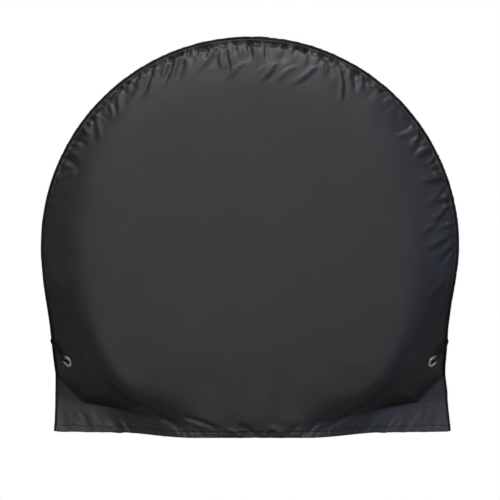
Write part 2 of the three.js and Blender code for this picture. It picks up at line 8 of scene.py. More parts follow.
import bmesh
import bpy
import numpy as np
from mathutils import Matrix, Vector


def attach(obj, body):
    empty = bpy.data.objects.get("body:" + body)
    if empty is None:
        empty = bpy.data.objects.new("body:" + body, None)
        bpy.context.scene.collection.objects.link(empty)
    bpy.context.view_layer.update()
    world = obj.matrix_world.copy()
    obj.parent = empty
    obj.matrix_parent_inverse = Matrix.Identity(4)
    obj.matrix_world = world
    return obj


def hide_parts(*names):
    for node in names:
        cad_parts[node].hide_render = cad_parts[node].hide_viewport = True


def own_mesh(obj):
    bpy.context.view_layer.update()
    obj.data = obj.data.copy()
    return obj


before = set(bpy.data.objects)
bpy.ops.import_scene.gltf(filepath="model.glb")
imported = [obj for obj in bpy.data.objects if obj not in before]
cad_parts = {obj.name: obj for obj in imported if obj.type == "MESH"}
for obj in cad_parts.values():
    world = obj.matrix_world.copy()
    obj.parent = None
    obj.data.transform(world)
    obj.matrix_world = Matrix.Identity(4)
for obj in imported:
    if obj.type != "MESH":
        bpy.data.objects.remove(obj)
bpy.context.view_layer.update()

MM = 0.001
CORD_RADIUS = 2.25

# ---- dimensions shared with the CAD source -------------------------------------------
GIRTH_RADIUS = 372
SIDE_HALF_WIDTH = 360
SIDE_EASE = 160
HEM_Z = -337
CLOTH = 1.6
LAYER_GAP = 0.3
FACE_Y = -118
FACE_RADIUS = 290
SLOPE_POWER = 1.65
RIM_REACH = 40
RIM_TURN = math.radians(62)
RIM_ROOM = 24
RIM_FADE = (330, 358)
ARCH_SEAM_Y = -88
NECK_SEAM_Y = 8
CORNER_SEAM_Y = -22
CORNER_POWER = 1.8
NECK_Z = -238
PULL_START_Z = -50
PULL_POWER = 1.8
SEAM_INSET = 4          # 6 in the CAD, where the folded layers need more room
PIPING_RADIUS = 2
PANEL_EDGE_IN = 2.2
PANEL_EDGE_FORWARD = 1.7
FRONT_TURN_DEPTH = 12
REAR_TURN_Y = 50
REAR_Y = 116
ARCH_RETURN = 54
HEM_RETURN = 38
CORNER_BAND = 58
MIDDLE_BAND = 13
BAND_SET_BACK = 2
HEM_SET_BACK = 6
CREASE_START_Z = -240
CREASE_HEM_X = 250
FLAP_LEAN = 0.22
HEM_LEAN = 0.15
TOP_LINE_TURN = (75, 262)
HEM_TURN = (95, 235)
BAND_SWEEP_POWER = 1.2
PANEL_SPLIT = math.radians(28)
GROMMET_RAY_Z = -222
LOCK_CENTRE = (0, 121.5, -206)

HALF_ARCH = GIRTH_RADIUS * math.pi / 2
BAND_G = HALF_ARCH - HEM_Z - CORNER_BAND     # girth coordinate of the hem band's top
HEM_G = HALF_ARCH - HEM_Z                    # and of the hem
SPLIT_G = HALF_ARCH - GIRTH_RADIUS * PANEL_SPLIT


# ---- numbers --------------------------------------------------------------------------
def ease(t):
    t = np.clip(t, 0, 1)
    return t * t * (3 - 2 * t)


def lerp(a, b, t):
    return a + (b - a) * t


def bump(t, middle, width):
    return np.exp(-(((t - middle) / width) ** 2))


NOISE_SIZE = 512


def noise1(t, seed):
    """Smooth noise from -1 to 1 along a line, one value for each whole number."""
    values = np.random.default_rng(seed).uniform(-1, 1, NOISE_SIZE)
    t = np.asarray(t, float)
    i = np.floor(t).astype(int)
    f = t - i
    a, b = values[i % NOISE_SIZE], values[(i + 1) % NOISE_SIZE]
    return lerp(a, b, f * f * (3 - 2 * f))


def noise2(u, v, seed):
    """The same over a plane."""
    values = np.random.default_rng(seed).uniform(-1, 1, (NOISE_SIZE, NOISE_SIZE))
    u, v = np.broadcast_arrays(np.asarray(u, float), np.asarray(v, float))
    i, j = np.floor(u).astype(int), np.floor(v).astype(int)
    f, h = u - i, v - j
    f, h = f * f * (3 - 2 * f), h * h * (3 - 2 * h)
    i, j = i % NOISE_SIZE, j % NOISE_SIZE
    ni, nj = (i + 1) % NOISE_SIZE, (j + 1) % NOISE_SIZE
    return lerp(
        lerp(values[i, j], values[ni, j], f), lerp(values[i, nj], values[ni, nj], f), h
    )


# ---- meshes ---------------------------------------------------------------------------
def new_object(name, data):
    obj = bpy.data.objects.new(name, data)
    bpy.context.scene.collection.objects.link(obj)
    return obj


def stands_for(piece, node, slot, body="cover", **sheet):
    """Puts a piece on a body, in place of a CAD node, which it hides."""
    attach(piece, body)
    if node:
        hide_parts(node)


SHARP_ANGLE = math.radians(80)


def make_object(name, points, faces, materials, slots=None, uv=None):
    """A mesh object from points in millimetres and faces of three or four corners."""
    mesh = bpy.data.meshes.new(name)
    mesh.from_pydata(
        (np.asarray(points) * MM).tolist(), [], [tuple(map(int, f)) for f in faces]
    )
    for material in materials:
        mesh.materials.append(material)
    if slots is not None:
        mesh.polygons.foreach_set("material_index", np.asarray(slots, np.int32))
    if uv is not None:
        corners = np.empty(len(mesh.loops), np.int32)
        mesh.loops.foreach_get("vertex_index", corners)
        layer = mesh.uv_layers.new(name="cloth")
        layer.data.foreach_set("uv", (np.asarray(uv)[corners] * MM).ravel())
    mesh.shade_smooth()
    mesh.set_sharp_from_angle(angle=SHARP_ANGLE)
    mesh.validate()
    mesh.update()
    return new_object(name, mesh)


def grid_faces(rows, cols, closed_rows=False, closed_cols=False):
    """Quads over a grid whose points are numbered row by row."""
    i = np.arange(rows if closed_rows else rows - 1)[:, None]
    j = np.arange(cols if closed_cols else cols - 1)[None, :]
    ni, nj = (i + 1) % rows, (j + 1) % cols
    quads = np.stack(
        np.broadcast_arrays(i * cols + j, ni * cols + j, ni * cols + nj, i * cols + nj), -1
    )
    return quads.reshape(-1, 4)


def point_normals(points, faces):
    normals = np.zeros_like(points)
    across = points[faces[:, 2]] - points[faces[:, 0]]
    other = points[faces[:, 3]] - points[faces[:, 1]]
    face_normals = np.cross(across, other)
    for k in range(4):
        np.add.at(normals, faces[:, k], face_normals)
    return normals / np.maximum(1e-9, np.linalg.norm(normals, axis=1))[:, None]


def grid_surface(grid, outward):
    """A grid's faces and normals, turned towards outward."""
    faces = grid_faces(*grid.shape[:2])
    normals = point_normals(grid.reshape(-1, 3), faces).reshape(grid.shape)
    if (normals * outward).sum() < 0:
        faces, normals = faces[:, ::-1], -normals
    return faces, normals


def open_edges(faces, count):
    """The directed edges that only one face has."""
    a = faces.ravel()
    b = np.roll(faces, -1, axis=1).ravel()
    real = a != b
    a, b = a[real], b[real]
    alone = ~np.isin(a.astype(np.int64) * count + b, b.astype(np.int64) * count + a)
    return a[alone], b[alone]


def cloth_piece(name, points, faces, materials, uv, top=0.0, bottom=-CLOTH, normals=None):
    """A closed piece of cloth: the surface moved along its normals by two distances.

    A triangle's last corner is there twice. The inner face takes the second material, and
    the rest the first.
    """
    points = np.reshape(points, (-1, 3))
    normals = point_normals(points, faces) if normals is None else np.reshape(normals, (-1, 3))
    count = len(points)
    both = np.vstack([points + normals * top, points + normals * bottom])
    a, b = open_edges(faces, count)
    walls = np.stack([b, a, a + count, b + count], -1)
    outer = [f[:3] if f[2] == f[3] else f for f in faces.tolist()]
    inner = [[corner + count for corner in f[::-1]] for f in outer]
    slots = np.repeat((0, 1, 0), (len(outer), len(inner), len(walls)))
    return make_object(
        name, both, [*outer, *inner, *walls], materials, slots, np.vstack([uv, uv])
    )


def lofted(name, sections, materials, closed_ends=True, uv=None):
    """A tube through closed sections: an array of sections, each a ring of points."""
    count, sides, _ = sections.shape
    points = sections.reshape(-1, 3)
    faces = [tuple(f) for f in grid_faces(count, sides, closed_cols=True)]
    if closed_ends:
        faces.append(tuple(range(sides)))
        faces.append(tuple(range((count - 1) * sides, count * sides))[::-1])
    obj = make_object(name, points, faces, materials, uv=uv)
    recalculate(obj)
    return obj


def recalculate(obj, merge=False):
    """Turns a closed mesh's faces outward, with the points that coincide merged or not."""
    work = bmesh.new()
    work.from_mesh(obj.data)
    if merge:
        bmesh.ops.remove_doubles(work, verts=work.verts, dist=1e-7)
    bmesh.ops.recalc_face_normals(work, faces=work.faces)
    work.to_mesh(obj.data)
    work.free()


def distances(path):
    """How far along a path each of its points is."""
    return np.concatenate([[0], np.cumsum(np.linalg.norm(np.diff(path, axis=0), axis=1))])


def path_frames(path):
    """Two sideways directions that turn with the path as little as may be."""
    tangents = np.gradient(path, axis=0)
    tangents /= np.linalg.norm(tangents, axis=1)[:, None]
    first = np.cross(tangents[0], (0.0, 0.0, 1.0))
    if np.linalg.norm(first) < 0.1:
        first = np.cross(tangents[0], (1.0, 0.0, 0.0))
    sideways = [first / np.linalg.norm(first)]
    for tangent in tangents[1:]:
        turned = sideways[-1] - tangent * (sideways[-1] @ tangent)
        sideways.append(turned / np.linalg.norm(turned))
    sideways = np.array(sideways)
    return sideways, np.cross(tangents, sideways)


def smooth_path(points, step):
    """A Catmull-Rom curve through points, sampled evenly."""
    points = np.asarray(points, float)
    padded = np.vstack([2 * points[0] - points[1], points, 2 * points[-1] - points[-2]])
    fine = []
    for a, b, c, d in zip(padded, padded[1:], padded[2:], padded[3:]):
        for t in np.linspace(0, 1, 24, endpoint=False):
            fine.append(
                0.5 * (2 * b + (c - a) * t + (2 * a - 5 * b + 4 * c - d) * t**2
                       + (3 * b - a - 3 * c + d) * t**3)
            )
    fine = np.array([*fine, points[-1]])
    along = distances(fine)
    at = np.linspace(0, along[-1], max(2, int(round(along[-1] / step)) + 1))
    return np.stack([np.interp(at, along, fine[:, k]) for k in range(3)], -1)


def tube(path, radius_at, sides):
    """Rings round a path. radius_at takes the distance along it and the angle round it."""
    right, up = path_frames(path)
    along = distances(path)
    angle = np.linspace(0, 2 * math.pi, sides, endpoint=False)
    radius = radius_at(along[:, None], angle[None, :])
    ring = np.cos(angle)[:, None] * right[:, None] + np.sin(angle)[:, None] * up[:, None]
    uv = np.stack(np.broadcast_arrays(along[:, None], angle[None, :] * CORD_RADIUS), -1)
    return path[:, None, :] + ring * radius[:, :, None], uv.reshape(-1, 2)


def lathe(name, profile, material, place, segments=96):
    """A profile of (radius, height) turned about Y, moved by place (origin, axes)."""
    profile = np.array(profile, float)
    angle = np.linspace(0, 2 * math.pi, segments, endpoint=False)
    radius, height = profile[:, 0][:, None], profile[:, 1][:, None]
    points = np.stack(
        np.broadcast_arrays(radius * np.cos(angle), height, radius * np.sin(angle)), -1
    ).reshape(-1, 3)
    origin, axes = place
    faces = grid_faces(len(profile), segments, closed_rows=True, closed_cols=True)
    obj = make_object(name, points @ axes + origin, faces, [material])
    recalculate(obj, merge=True)
    return obj


def rounded(profile, radius, steps):
    """Rounds the corners of a closed profile."""
    profile = np.array(profile, float)
    out = []
    for before, here, after in zip(np.roll(profile, 1, 0), profile, np.roll(profile, -1, 0)):
        a, b = before - here, after - here
        la, lb = np.linalg.norm(a), np.linalg.norm(b)
        cut = min(radius, la * 0.45, lb * 0.45)
        start, end = here + a / la * cut, here + b / lb * cut
        for t in np.linspace(0, 1, steps + 1):
            out.append((1 - t) ** 2 * start + 2 * t * (1 - t) * here + t**2 * end)
    return out


# ---- the cover's girth ----------------------------------------------------------------
def right_hang(z):
    """How far the right side hangs outside its even shape: in at the middle, out at the hem."""
    return -3.4 * bump(z, -115, 80) + 5 * ease((-212 - z) / 60) + 2.4 * ease((-280 - z) / 57)


def side_half_width(z, side):
    even = lerp(GIRTH_RADIUS, SIDE_HALF_WIDTH, ease(-z / SIDE_EASE))
    return even + np.where(side > 0, right_hang(z), -1.2 * ease((-250 - z) / 80)) * ease(-z / 60)


def seam_y(z):
    drop = np.clip((NECK_Z - z) / (NECK_Z - HEM_Z), 0, None) ** CORNER_POWER
    low = lerp(NECK_SEAM_Y, CORNER_SEAM_Y, drop)
    pull = np.clip((PULL_START_Z - z) / (PULL_START_Z - NECK_Z), 0, 1) ** PULL_POWER
    return np.where(z < NECK_Z, low, lerp(ARCH_SEAM_Y, NECK_SEAM_Y, pull))


class Girth:
    """Places along the cover's girth. g runs from the left hem over the top to the right hem."""

    def __init__(self, g):
        self.g = np.asarray(g, float)
        self.side = np.where(self.g < 0, -1.0, 1.0)
        turn = np.minimum(np.abs(self.g), HALF_ARCH) / GIRTH_RADIUS
        drop = -np.maximum(0, np.abs(self.g) - HALF_ARCH)
        on_side = drop < 0
        self.nx = self.side * np.where(on_side, 1, np.sin(turn))
        self.nz = np.where(on_side, 0, np.cos(turn))
        self.x = np.where(
            on_side, self.side * side_half_width(drop, self.side), GIRTH_RADIUS * self.nx
        )
        self.z = np.where(on_side, drop, GIRTH_RADIUS * self.nz)
        self.seam = seam_y(self.z) + seam_wander(self.g)
        self.inset = np.where(
            on_side, lerp(ARCH_RETURN, HEM_RETURN, ease(self.z / HEM_Z)), ARCH_RETURN
        )

    def point(self, out, y):
        return np.stack(
            np.broadcast_arrays(self.x + self.nx * out, y, self.z + self.nz * out), -1
        )

    def panel_edge(self):
        return self.point(-SEAM_INSET - PANEL_EDGE_IN, self.seam - PANEL_EDGE_FORWARD)


def seam_wander(g):
    """The gathered seam isn't quite straight."""
    near_top = ease((HALF_ARCH + 60 - np.abs(g)) / 160)
    return near_top * (0.7 * noise1(g / 17, 31) + 0.5 * noise1(g / 7, 32))


def side_edge(side, z):
    """The front panel's edge at a height of one side."""
    return Girth(side * (HALF_ARCH - np.asarray(z, float))).panel_edge()


def edge_x(side, z):
    return side_half_width(z, side) - SEAM_INSET - PANEL_EDGE_IN


CORNER_X = SIDE_HALF_WIDTH - SEAM_INSET - PANEL_EDGE_IN
CREASE_SLANT = (CORNER_X - CREASE_HEM_X) / (CREASE_START_Z - HEM_Z)
CREASE_REACH = CORNER_X - CREASE_SLANT * CREASE_START_Z


def crease_x(z):
    return CREASE_REACH + CREASE_SLANT * z


def flap_y(x, z):
    lean = edge_x(np.sign(x), z) - np.abs(x)
    return seam_y(z) - PANEL_EDGE_FORWARD - FLAP_LEAN * lean


RIM_SOFTNESS = 26   # how gently the slope begins at the disc's rim
TAUT_SOFTNESS = 9   # and where the cloth is pulled back hard


def soft(distance, softness):
    return (distance + np.sqrt(distance**2 + softness**2)) / 2


def face_depth(radius, reach, share, foot, edge_y, rim):
    softness = lerp(RIM_SOFTNESS, TAUT_SOFTNESS, ease((foot - ARCH_SEAM_Y) / 60))

    def fall(start):
        slope = soft(radius - start, softness) / soft(share * reach - start, softness)
        return np.minimum(1, slope) ** SLOPE_POWER

    start, end = RIM_FADE
    slope = lerp(fall(rim), fall(FACE_RADIUS), ease((radius - start) / (end - start)))
    flap = np.clip((radius / reach - share) / np.maximum(1e-6, 1 - share), 0, 1)
    return FACE_Y + (foot - FACE_Y) * slope + (edge_y - foot) * flap


def face_rays(edge):
    """For the lines from the wheel's centre to the edge points: what face_depth needs."""
    x, z = edge[..., 0], edge[..., 2]
    share = np.minimum(1, CREASE_REACH / (np.abs(x) - CREASE_SLANT * np.minimum(0, z)))
    foot = np.where(share < 1, flap_y(share * x, share * z), edge[..., 1])
    reach = np.hypot(x, z)
    low = ease(np.arctan2(-z, np.abs(x)) / RIM_TURN)
    rim = np.minimum(FACE_RADIUS + RIM_REACH * low, share * reach - RIM_ROOM)
    return reach, share, foot, edge[..., 1], rim


def face_points(edge, radius):
    """The face along the lines from the wheel's centre to its edge points."""
    rays = face_rays(edge)
    x, z = edge[..., 0] * radius / rays[0], edge[..., 2] * radius / rays[0]
    return np.stack([x, face_depth(radius, *rays), z], -1)


def turned_back(x, turn, set_back, flap):
    """Depth along the skirt: set back from the disc in the middle, and on the flap beyond."""
    start, end = turn
    return lerp(FACE_Y + set_back, flap, ease((np.abs(x) - start) / (end - start)))


def band_top_y(x, z):
    return turned_back(x, TOP_LINE_TURN, BAND_SET_BACK, flap_y(x, z))


def hem_y(x):
    lean = HEM_LEAN * (edge_x(np.sign(x), HEM_Z) - np.abs(x))
    return turned_back(x, HEM_TURN, HEM_SET_BACK, CORNER_SEAM_Y - PANEL_EDGE_FORWARD - lean)


def band_top_z(x):
    sweep = np.minimum(1, np.abs(x / CORNER_X)) ** BAND_SWEEP_POWER
    return HEM_Z + lerp(MIDDLE_BAND, CORNER_BAND, sweep)


# ---- folds ----------------------------------------------------------------------------
def arch_g(angle):
    """The girth coordinate at an angle from the right, in degrees."""
    return math.radians(90 - angle) * GIRTH_RADIUS


# Chief folds of the front, each from its outer to its inner end: angle in degrees and depth
# in from the seam, then half its width and its height.
CHIEF_FOLDS = [
    (159, 24, 157, 36, 6, 1.6), (154, 4, 156, 37, 5, -2.6), (149, 2, 149, 32, 4, -2.2),
    (145, 5, 145, 31, 4.5, 1.8), (140, 10, 144, 44, 5, 2.4), (142, 10, 144, 35, 3.5, -1.6),
    (135, 17, 137, 38, 3.5, 2.2), (130, 7, 135, 40, 5, 2.4), (133, 16, 136, 38, 3.5, -1.6),
    (126, 7, 129, 22, 4, 1.8), (122, 10, 129, 42, 6, 3.0), (118, 12, 124, 48, 5, 2.4),
    (120, 16, 124, 36, 3.5, -2.0), (115, 12, 120, 44, 5, 2.4), (111, 12, 118, 56, 5.5, 2.6),
    (113, 18, 118, 42, 4, -2.2), (107, 12, 111, 52, 6, 2.2), (104, 12, 107, 35, 4, 2.0),
    (100, 10, 110, 60, 5.5, 2.8), (98, 14, 99, 58, 4.5, 2.2), (97, 24, 97, 62, 3.5, -2.0),
    (95, 10, 96, 50, 4.5, 2.0), (93, 12, 93, 37, 4, 1.6), (92, 46, 98, 72, 4.5, 2.2),
    (90, 14, 91, 46, 4, -2.2), (88, 12, 88, 43, 7, 1.6), (85, 8, 84, 44, 4, -2.4),
    (82, 44, 87, 80, 4.5, 2.2), (85, 50, 88, 70, 3.5, 1.5), (80, 5, 80, 42, 6, -2.2),
    (76, 42, 81, 78, 4.5, 1.8), (74, 8, 74, 40, 5, 1.8), (70, 32, 76, 78, 5, 2.2),
    (68, 16, 67, 48, 5, 1.8), (63, 20, 58, 68, 3.5, 3.0), (67, 10, 64, 40, 4.5, -1.8),
    (61, 7, 57, 42, 5, 2.2), (57, 0, 54, 38, 6, 2.4), (58, 4, 56, 37, 4, -1.8),
    (35, 0, 37, 50, 5, 2.2), (35, 2, 31, 40, 4.5, 2.2), (27, 0, 26, 32, 5, -2.4),
    (29, 2, 28, 42, 5, 2.0), (22, 3, 25, 40, 4.5, -1.8), (20, 6, 21, 45, 5, 2.4),
    (16, 14, 15, 52, 4, 1.8), (14, 6, 13, 52, 5, 2.5), (12, 10, 6, 60, 6, 2.2),
    (6, 8, 5, 60, 4.5, 2.8), (7, 16, 6, 50, 4, -1.8), (3, 16, 0, 58, 5, 1.8),
    (1, 8, -3, 34, 4.5, 1.8), (-1, 8, -4, 27, 4, -1.4), (-10, 18, -16, 46, 5, 1.6),
    (189, 16, 195, 40, 8, 1.2), (199, 8, 200, 44, 7, 1.2),
]


def fold_height(g, rho, folds):
    """Ridges with a valley beside each, over girth coordinate g and depth rho."""
    height = np.zeros(np.broadcast(g, rho).shape)
    for g0, rho0, g1, rho1, width, size, lean in folds:
        t = (rho - rho0) / (rho1 - rho0)
        inside = np.clip(t, 0, 1)
        middle = g0 + (g1 - g0) * t + 0.08 * (rho1 - rho0) * lean * np.sin(math.pi * inside)
        across = (g - middle) / math.hypot(1, (g1 - g0) / (rho1 - rho0))
        taper = ease((t + 0.12) / 0.2) * (1 - ease((t - 0.55) / 0.55))
        spread = width * (0.9 + 0.6 * inside)
        ridge = bump(across, 0, spread)
        valley = bump(across, 1.55 * lean * spread, spread)
        height += size * taper * (ridge - 0.4 * valley)
    return height


def gather_strength(g):
    """Gathers are tight over the top and the right, and few down the left."""
    angle = 90 - np.degrees(g / GIRTH_RADIUS)
    top = bump(angle, 92, 52)
    right = 0.75 * bump(angle, 22, 24)
    left = 0.75 * bump(angle, 146, 17)
    return np.clip(np.maximum(np.maximum(top, right), left) + 0.12, 0, 1)


def gathers(seed, first, last, looseness):
    """Places along the seam between two angles, closest where the cloth is gathered most."""
    rng = np.random.default_rng(seed)
    g = arch_g(first)
    while g < arch_g(last):
        strength = float(gather_strength(g))
        yield rng, g, strength
        g += rng.uniform(5, 12) / (looseness + strength)


def seeded_folds():
    folds = []
    for rng, g, strength in gathers(5, 205, -22, 0.35):
        length = rng.uniform(12, 34) * (0.5 + 0.6 * strength)
        slant = rng.normal(0, 0.28) * length
        start = rng.uniform(-2, 3)
        folds.append((
            g, start, g + slant, start + length, rng.uniform(2.4, 4.2),
            rng.uniform(0.7, 1.7) * strength * rng.choice([1, 1, -1]), rng.choice([-1, 1]),
        ))
    return folds


def seam_pits():
    """Short deep tucks where the gathered cloth goes into the seam."""
    pits = []
    for rng, g, strength in gathers(15, 203, -14, 0.3):
        right = float(bump(g, arch_g(12), 200))
        pits.append((
            g, rng.normal(0, 0.5), rng.uniform(2.6, 6.5),
            rng.uniform(7, 16) * (0.5 + 0.5 * strength),
            rng.uniform(1.8, 5.4) * strength * (1 - 0.65 * right),
        ))
    return pits


def pit_depth(g, rho):
    depth = np.zeros(np.broadcast(g, rho).shape)
    for at, slant, width, length, size in seam_pits():
        across = (g - at - slant * rho) / (width * (1 + 0.4 * rho / length))
        depth += size * bump(across, 0, 1) * ease(rho / 3.5) * (1 - ease((rho - 3.5) / length))
    return depth


def all_folds():
    lean = np.random.default_rng(9).choice([-1, 1], len(CHIEF_FOLDS))
    chief = [
        (arch_g(a0), r0, arch_g(a1), r1, width, size, side)
        for (a0, r0, a1, r1, width, size), side in zip(CHIEF_FOLDS, lean)
    ]
    return [*chief, *seeded_folds()]


def face_folds(g, rho):
    """Height of the gathered cloth over the face's slope."""
    strength = gather_strength(g)
    warp = 2.2 * noise2(g / 21, rho / 17, 41) + 1.0 * noise2(g / 9, rho / 8, 42)
    height = fold_height(g + warp, rho, all_folds()) * ease((rho + 1) / 6)
    height -= pit_depth(g + 0.5 * warp, rho)
    crumple = noise2((g + warp) / 5.2, rho / 13, 43) * ease(rho / 3) * (1 - ease((rho - 8) / 16))
    fine = noise1((g + warp * 0.6) / 3.1, 44) * ease(rho / 2) * (1 - ease((rho - 3) / 9))
    broad = noise2(g / 34, rho / 30, 45) * ease(rho / 12) * (1 - ease((rho - 40) / 40))
    height += strength * (0.6 * crumple + 0.35 * fine) + 0.9 * broad
    return ease((rho + 0.5) / 4) * height


HEM_STITCH = 10
LOWER_FOLDS = [
    (-205, -279, -124, -324, 6, -3.4), (-196, -292, -136, -326, 5, 1.6),
    (-116, -300, -58, -323, 4, -2.6), (-18, -314, 10, -336, 5, -2.8),
    (-40, -322, -16, -336, 4, 1.8), (34, -318, 62, -336, 7, 2.2),
    (84, -312, 60, -334, 4, -1.8), (128, -300, 96, -330, 4, -2.0),
    (196, -288, 120, -326, 6, -2.8), (150, -296, 128, -330, 5, 1.6),
]


def lower_folds(x, z):
    """Folds that run down to the hem where the cloth turns from the tire to the flaps."""
    height = np.zeros(np.shape(x))
    for x0, z0, x1, z1, width, size in LOWER_FOLDS:
        length = math.hypot(x1 - x0, z1 - z0)
        ux, uz = (x1 - x0) / length, (z1 - z0) / length
        along = ((x - x0) * ux + (z - z0) * uz) / length
        across = (x - x0) * uz - (z - z0) * ux + 3 * np.sin(2.6 * along)
        taper = ease((along + 0.15) / 0.4) * (1 - ease((along - 0.8) / 0.4))
        height += size * bump(across, 0, width) * taper
    return height


def hem_puckers(x, z):
    """Small puckers that the hem's stitching draws in the band, fading upwards."""
    up = z - HEM_Z
    slanted = x - 0.6 * up * np.tanh(x / 60) + 2.5 * noise2(x / 18, up / 14, 54)
    close = noise1(slanted / 4.6, 52) * ease(up / 2) * (1 - ease((up - 12) / 14))
    wide = noise1((slanted + 3) / 9.5, 53) * ease(up / 5) * (1 - ease((up - 20) / 26))
    groove = -0.8 * bump(up, HEM_STITCH, 1.7)
    return 1.2 * close + 1.0 * wide + groove


# ---- materials ------------------------------------------------------------------------
class Surface:
    """A material with a principled shader, and short ways to add nodes to it."""

    def __init__(self, name):
        self.material = bpy.data.materials.new(name)
        self.material.use_nodes = True
        self.tree = self.material.node_tree
        self.tree.nodes.clear()
        self.shader = self.add("BsdfPrincipled")
        self.add("OutputMaterial", {0: self.shader.outputs[0]})
        self.place = self.add("TexCoord").outputs["Object"]
        self.layout = self.add("UVMap", uv_map="cloth").outputs[0]

    def add(self, kind, inputs=(), **settings):
        node = self.tree.nodes.new("ShaderNode" + kind)
        for key, value in settings.items():
            setattr(node, key, value)
        self.set(node, dict(inputs))
        return node

    def set(self, node, inputs):
        for socket, value in inputs.items():
            if isinstance(value, bpy.types.NodeSocket):
                self.tree.links.new(value, node.inputs[socket])
            else:
                node.inputs[socket].default_value = value

    def maths(self, operation, *values):
        return self.add("Math", dict(enumerate(values)), operation=operation).outputs[0]

    def times(self, value, factor):
        return self.maths("MULTIPLY", value, factor)

    def wave(self, value):
        return self.maths("ABSOLUTE", self.maths("SINE", self.times(value, math.pi)))

    def noise(self, scale, detail=3.0, roughness=0.55):
        return self.add("TexNoise", {
            "Vector": self.place, "Scale": scale, "Detail": detail, "Roughness": roughness
        }).outputs[0]

    def ramp(self, factor, stops):
        node = self.add("ValToRGB", {0: factor})
        for element, (place, colour) in zip(node.color_ramp.elements, stops):
            element.position = place
            element.color = colour
        return node.outputs[0]

    def spread(self, factor, low, high):
        return self.add("MapRange", {0: factor, 1: 0.25, 2: 0.75, 3: low, 4: high}).outputs[0]

    def finish(self, colour, roughness, height, strength, depth, **inputs):
        relief = self.add("Bump", {"Height": height, "Strength": strength, "Distance": depth})
        self.set(self.shader, {
            "Base Color": colour, "Roughness": roughness, "Normal": relief.outputs[0],
            **{name.replace("_", " "): value for name, value in inputs.items()},
        })
        return self.material


def grey(value, blue=1.0):
    return (value, value, value * blue, 1)


def cloth_material(
    name, dark, light, rough, weave=0.10, blue=1.06, sheen=0.0, pitch=0.00062, shine=0.5
):
    """Coated cloth, with over-and-under threads from its layout in metres."""
    s = Surface(name)
    tone = s.maths("ADD", s.times(s.noise(9.0, 4.0), 0.7), s.times(s.noise(240.0), 0.3))
    colour = s.ramp(tone, [(0.32, grey(dark, blue)), (0.68, grey(light, blue))])
    rough = s.spread(s.noise(26.0, 5.0), rough - 0.02, rough + 0.02)
    split = s.add("SeparateXYZ", {0: s.layout})
    u, v = (s.times(split.outputs[axis], 1 / pitch) for axis in range(2))
    place = s.add("CombineXYZ", {0: u, 1: v}).outputs[0]
    over = s.add("TexChecker", {"Vector": place, "Scale": 1.0}).outputs[1]
    threads = s.add("Mix", {0: over, 2: s.wave(u), 3: s.wave(v)}, data_type="FLOAT").outputs[0]
    crinkle = s.noise(130.0, 4.0, 0.6)
    height = s.maths("ADD", s.times(threads, 0.5), s.times(crinkle, 0.8))
    return s.finish(
        colour, rough, height, weave, 0.0006,
        Sheen_Weight=sheen, Sheen_Roughness=0.4, Specular_IOR_Level=shine,
    )


def metal_material(name, light, rough):
    s = Surface(name)
    colour = s.ramp(
        s.noise(160.0, 5.0), [(0.3, grey(light * 0.82, 0.98)), (0.65, grey(light, 0.99))]
    )
    scratch = s.noise(900.0, 2.0)
    rough = s.spread(scratch, rough * 0.7, rough * 1.5)
    return s.finish(colour, rough, scratch, 0.05, 0.0002, Metallic=1.0)


def plastic_material(name, level, rough):
    s = Surface(name)
    wear = s.noise(60.0, 4.0)
    colour = s.ramp(wear, [(0.35, grey(level)), (0.7, grey(level * 1.5))])
    rough = s.spread(wear, rough - 0.05, rough + 0.08)
    return s.finish(colour, rough, s.noise(1400.0, 2.0), 0.12, 0.0002)


def cord_material():
    """Braid: two sets of crossing strands, from the distance along and round the cord."""
    s = Surface("braided_cord")
    split = s.add("SeparateXYZ", {0: s.layout})
    along = s.times(split.outputs[0], 1 / 0.0036)
    turn = s.times(split.outputs[1], 8 / (2 * math.pi * CORD_RADIUS * MM))
    strands = s.maths(
        "MAXIMUM", s.wave(s.maths("ADD", along, turn)), s.wave(s.maths("SUBTRACT", along, turn))
    )
    fuzz = s.noise(1500.0)
    tone = s.maths("MULTIPLY", strands, s.maths("ADD", 0.6, s.times(fuzz, 0.8)))
    colour = s.ramp(tone, [(0.2, grey(0.002)), (1.0, grey(0.010, 1.05))])
    return s.finish(
        colour, s.spread(fuzz, 0.6, 0.8), strands, 0.6, 0.0003, Specular_IOR_Level=0.3
    )


OUTSIDE = cloth_material("coated_cloth", 0.019, 0.026, 0.46)
# The same coated cloth as the face, painted lighter: painted light for the hem bands' upward lean
# toward the lamps. The elastic's casing takes this lighter copy too.
BAND_PAINTED_LIGHT = cloth_material("coated_cloth_band_painted_light", 0.033, 0.044, 0.43)
# The same coated cloth, painted darker: painted shade for the side band where it turns away at the
# outline. Its reflection is also turned down.
SIDE_PAINTED_SHADE = cloth_material("coated_cloth_side_painted_shade", 0.013, 0.019, 0.56, shine=0.2)
# Self-fabric piping, painted darker than the face: painted shade for the dark line along the seam
# at the outline.
PIPING_PAINTED_SHADE = cloth_material("coated_cloth_piping_painted_shade", 0.009, 0.014, 0.55, shine=0.2)
INSIDE = cloth_material("coated_cloth_back", 0.065, 0.095, 0.66, weave=0.3)
TAPE = cloth_material("binding_tape", 0.012, 0.020, 0.62, weave=0.5, pitch=0.0011)
ELASTIC = cloth_material("rib_elastic", 0.016, 0.028, 0.66, weave=0.9, pitch=0.0013, sheen=0.2)
THREAD = cloth_material("thread", 0.004, 0.010, 0.75, weave=0.4, pitch=0.0004, shine=0.2)
NICKEL = metal_material("nickel_plate", 0.95, 0.34)
STEEL = metal_material("spring_steel", 0.55, 0.28)
PLASTIC = plastic_material("lock_plastic", 0.012, 0.38)
CORD = cord_material()


# ---- camera ---------------------------------------------------------------------------
camera = new_object("camera", bpy.data.cameras.new("camera"))
camera.data.lens = 94
camera.data.sensor_width = 36
camera.location = (0, -2.4, -0.0075)
camera.rotation_euler = (math.radians(90), 0, 0)
camera.data.clip_end = 60
bpy.context.scene.camera = camera


